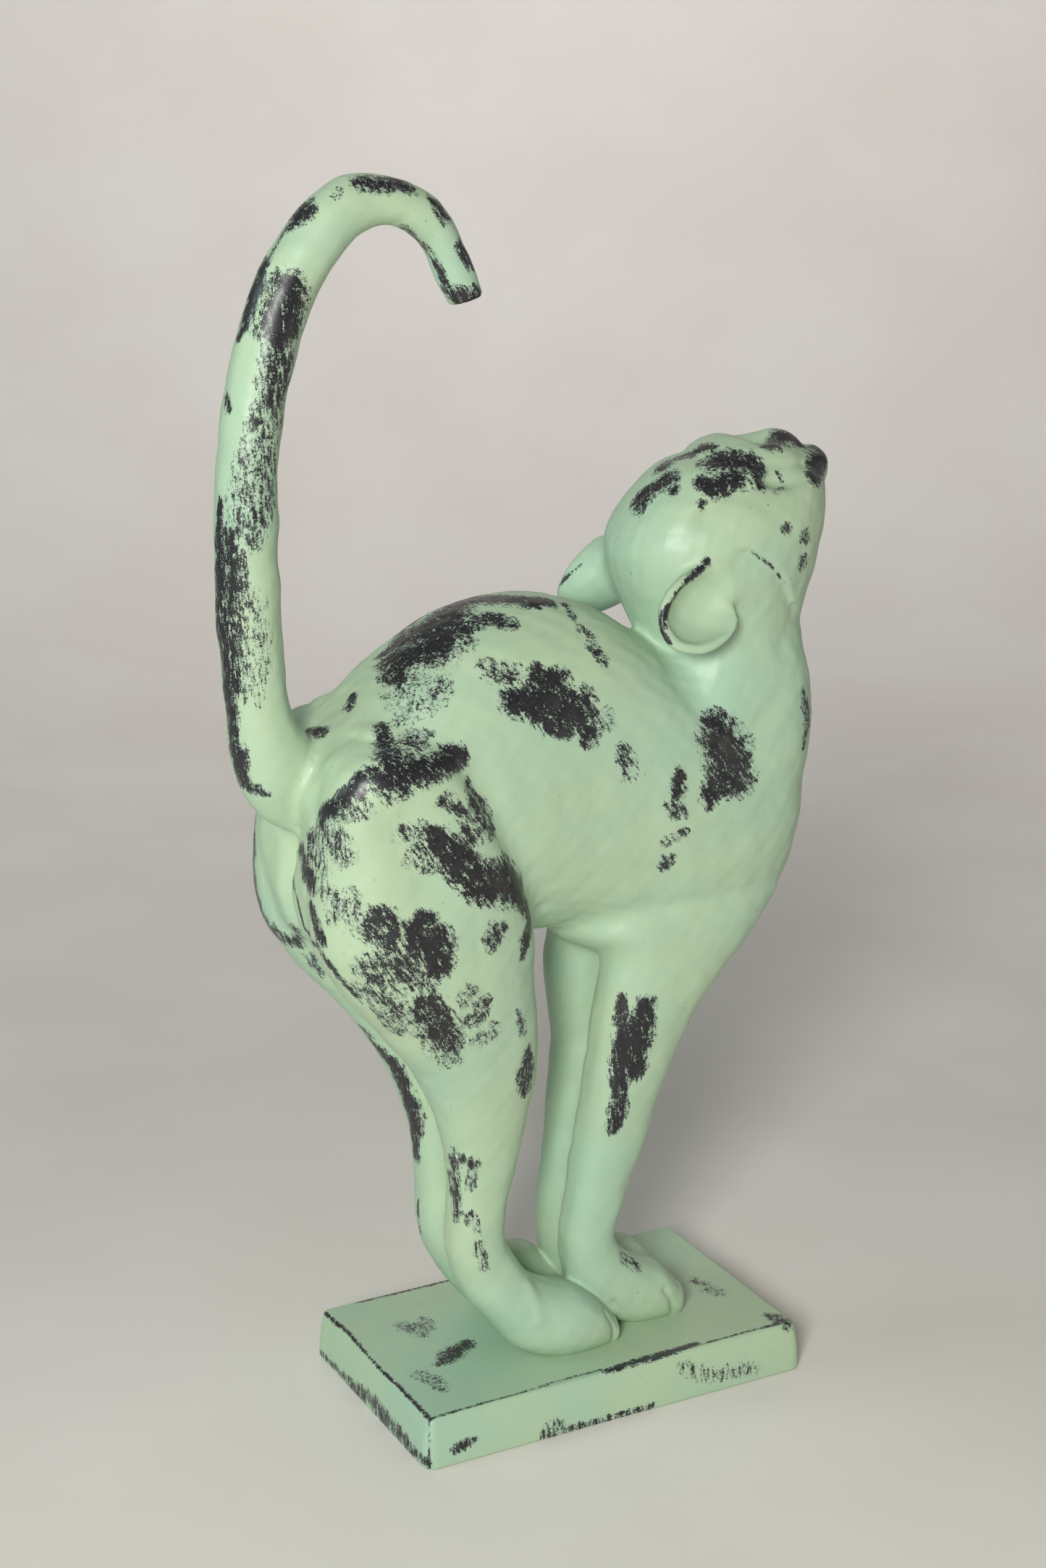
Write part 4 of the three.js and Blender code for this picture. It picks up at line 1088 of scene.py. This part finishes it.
PAINT = [(0.350, 0.520, 0.375, 1), (0.415, 0.540, 0.350, 1), (0.44, 0.57, 0.44, 1)]
mint_figure = rubbed_paint("mint_paint_figure", 95, 20)
mint_board = rubbed_paint("mint_paint_plinth", 60, 70)
carved_wood = bare_wood("limewood_glue_face", (0.62, 0.45, 0.27, 1), (0.50, 0.34, 0.19, 1), 90)
beech = bare_wood("beech_dowel", (0.63, 0.43, 0.26, 1), (0.48, 0.30, 0.17, 1), 140)
zinc = zinc_plate("zinc_screw")


def edges_between(mesh, index):
    """True at each edge that has a painted face on one side and a cut face on the other."""
    loops = np.empty(len(mesh.loops), np.int32)
    mesh.loops.foreach_get("edge_index", loops)
    corners = np.empty(len(mesh.polygons), np.int32)
    mesh.polygons.foreach_get("loop_total", corners)
    kind = np.repeat(index, corners)
    sides = np.zeros((2, len(mesh.edges)), bool)
    sides[kind.clip(0, 1), loops] = True
    return sides[0] & sides[1]


for node, piece in pieces.items():
    mesh = piece.data
    count = len(mesh.vertices)
    co = np.empty(count * 3, np.float32)
    mesh.vertices.foreach_get("co", co)
    figure = (co.reshape(-1, 3) - (0, 0, PLINTH_TOP)) / SCALE
    # the rubs, painted shade and sheen among them, go to the paint as one point attribute
    wear_and_painted_light = wear_and_painted_light_at(figure)
    mesh.attributes.new("wear_and_painted_light", "FLOAT", "POINT").data.foreach_set("value", wear_and_painted_light.astype(np.float32))
    slanted = np.clip((figure[:, 0] + 116) / 8, 0, 1) * np.clip((figure[:, 2] - 140) / 20, 0, 1)
    mesh.attributes.new("slant", "FLOAT", "POINT").data.foreach_set("value", slanted.astype(np.float32))
    index = np.empty(len(mesh.polygons), np.int32)
    mesh.polygons.foreach_get("material_index", index)
    mesh.materials.clear()
    mesh.materials.append(mint_board if node == "plinth" else mint_figure)
    mesh.materials.append(carved_wood)
    mesh.polygons.foreach_set("material_index", index)
    lie = np.empty(len(mesh.polygons) * 3, np.float32)
    mesh.polygons.foreach_get("normal", lie)
    level = (node == "plinth") & (np.abs(lie.reshape(-1, 3)[:, 2]) > 0.9995)
    mesh.polygons.foreach_set("use_smooth", (index == 0) & ~level)
    sharp = mesh.attributes.new("sharp_edge", "BOOLEAN", "EDGE")
    sharp.data.foreach_set("value", edges_between(mesh, index))
    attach(piece, "root")
    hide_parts(node)

for name, thing in frame["nodes"].items():
    finish = beech if name in dowels else zinc if name in screws else mint_figure
    for slot in thing.material_slots:
        slot.material = finish

kept = {piece.name for piece in pieces.values()} | {thing.name for thing in frame["nodes"].values()}
for thing in list(bpy.data.objects):
    if thing.type == "MESH" and thing.name not in kept:
        bpy.data.objects.remove(thing)

# ------------------------------------------------------------------ stage
def sweep(width, front, back, bend, height):
    """Floor and backdrop in one: a straight line carried along a profile that runs back along the
    floor, turns up through a quarter circle and climbs."""
    turn = np.linspace(0, np.pi / 2, 13)
    y = np.concatenate([[-front, back - bend], back - bend + bend * np.sin(turn[1:]), [back]])
    z = np.concatenate([[0, 0], bend - bend * np.cos(turn[1:]), [height]])
    left = np.column_stack([0 * y - width, y, z])
    points = np.vstack([left, left * (-1, 1, 1)])
    i = np.arange(len(y) - 1)
    return points, np.stack([i, i + len(y), i + len(y) + 1, i + 1], 1)


floor_points, floor_faces = sweep(4, 4, 1.9, 0.9, 4)
floor_turn = math.radians(-27.93)
floor_points = floor_points @ np.array([[math.cos(floor_turn), math.sin(floor_turn), 0],
                                        [-math.sin(floor_turn), math.cos(floor_turn), 0], [0, 0, 1]])
floor_mesh = bpy.data.meshes.new("floor")
floor_mesh.from_pydata(floor_points.tolist(), [], floor_faces.tolist())
floor_mesh.polygons.foreach_set("use_smooth", np.ones(len(floor_faces), bool))
floor = bpy.data.objects.new("floor", floor_mesh)
scene.collection.objects.link(floor)
pale = Finish("pale_floor")
pale_where = pale.add("TexCoord", {})["Object"]
cloudy = pale.ramp(pale.noise(pale_where, 6, 3), 0.3, 0.7)
pale.coat(Base_Color=pale.mix(cloudy, (0.76, 0.71, 0.65, 1), (0.80, 0.755, 0.70, 1)), Roughness=0.8)
floor_mesh.materials.append(pale.material)

camera = bpy.data.objects.new("camera", bpy.data.cameras.new("camera"))
scene.collection.objects.link(camera)
camera.location = (-0.4628, -0.8418, 0.5330)
camera.rotation_euler = (math.radians(90 - 16.21), 0, math.radians(-27.93))
camera.data.lens = 58.15
camera.data.sensor_width = 36
scene.camera = camera


def lamp(name, place, aim, size, power, colour):
    """A round soft lamp at a place, turned to face a point."""
    light = bpy.data.lights.new(name, "AREA")
    light.shape = "DISK"
    light.size = size
    light.energy = power
    light.color = colour
    thing = bpy.data.objects.new(name, light)
    scene.collection.objects.link(thing)
    thing.location = place
    towards = np.array(aim) - np.array(place)
    thing.rotation_euler = (math.acos(-towards[2] / np.linalg.norm(towards)), 0,
                            math.atan2(towards[1], towards[0]) - math.pi / 2)


lamp("key", (-0.92, -1.12, 0.78), (0, 0, 0.28), 0.42, 21, (1.0, 1.0, 0.97))
lamp("cool side", (-1.5, 0.45, 1.1), (0, 0, 0.28), 0.7, 5, (0.72, 0.98, 1.0))
lamp("warm side", (1.3, -0.9, 0.45), (0, 0, 0.2), 0.7, 2.2, (1.0, 0.95, 0.80))
lamp("backdrop", (0.3, 0.65, 1.7), (1.05, 1.95, 1.3), 0.9, 14, (1.0, 0.98, 1.0))
world = bpy.data.worlds.new("world")
scene.world = world
world.use_nodes = True
world.node_tree.nodes["Background"].inputs[0].default_value = (0.86, 0.93, 1.0, 1)
world.node_tree.nodes["Background"].inputs[1].default_value = 0.17
scene.view_settings.view_transform = "Standard"
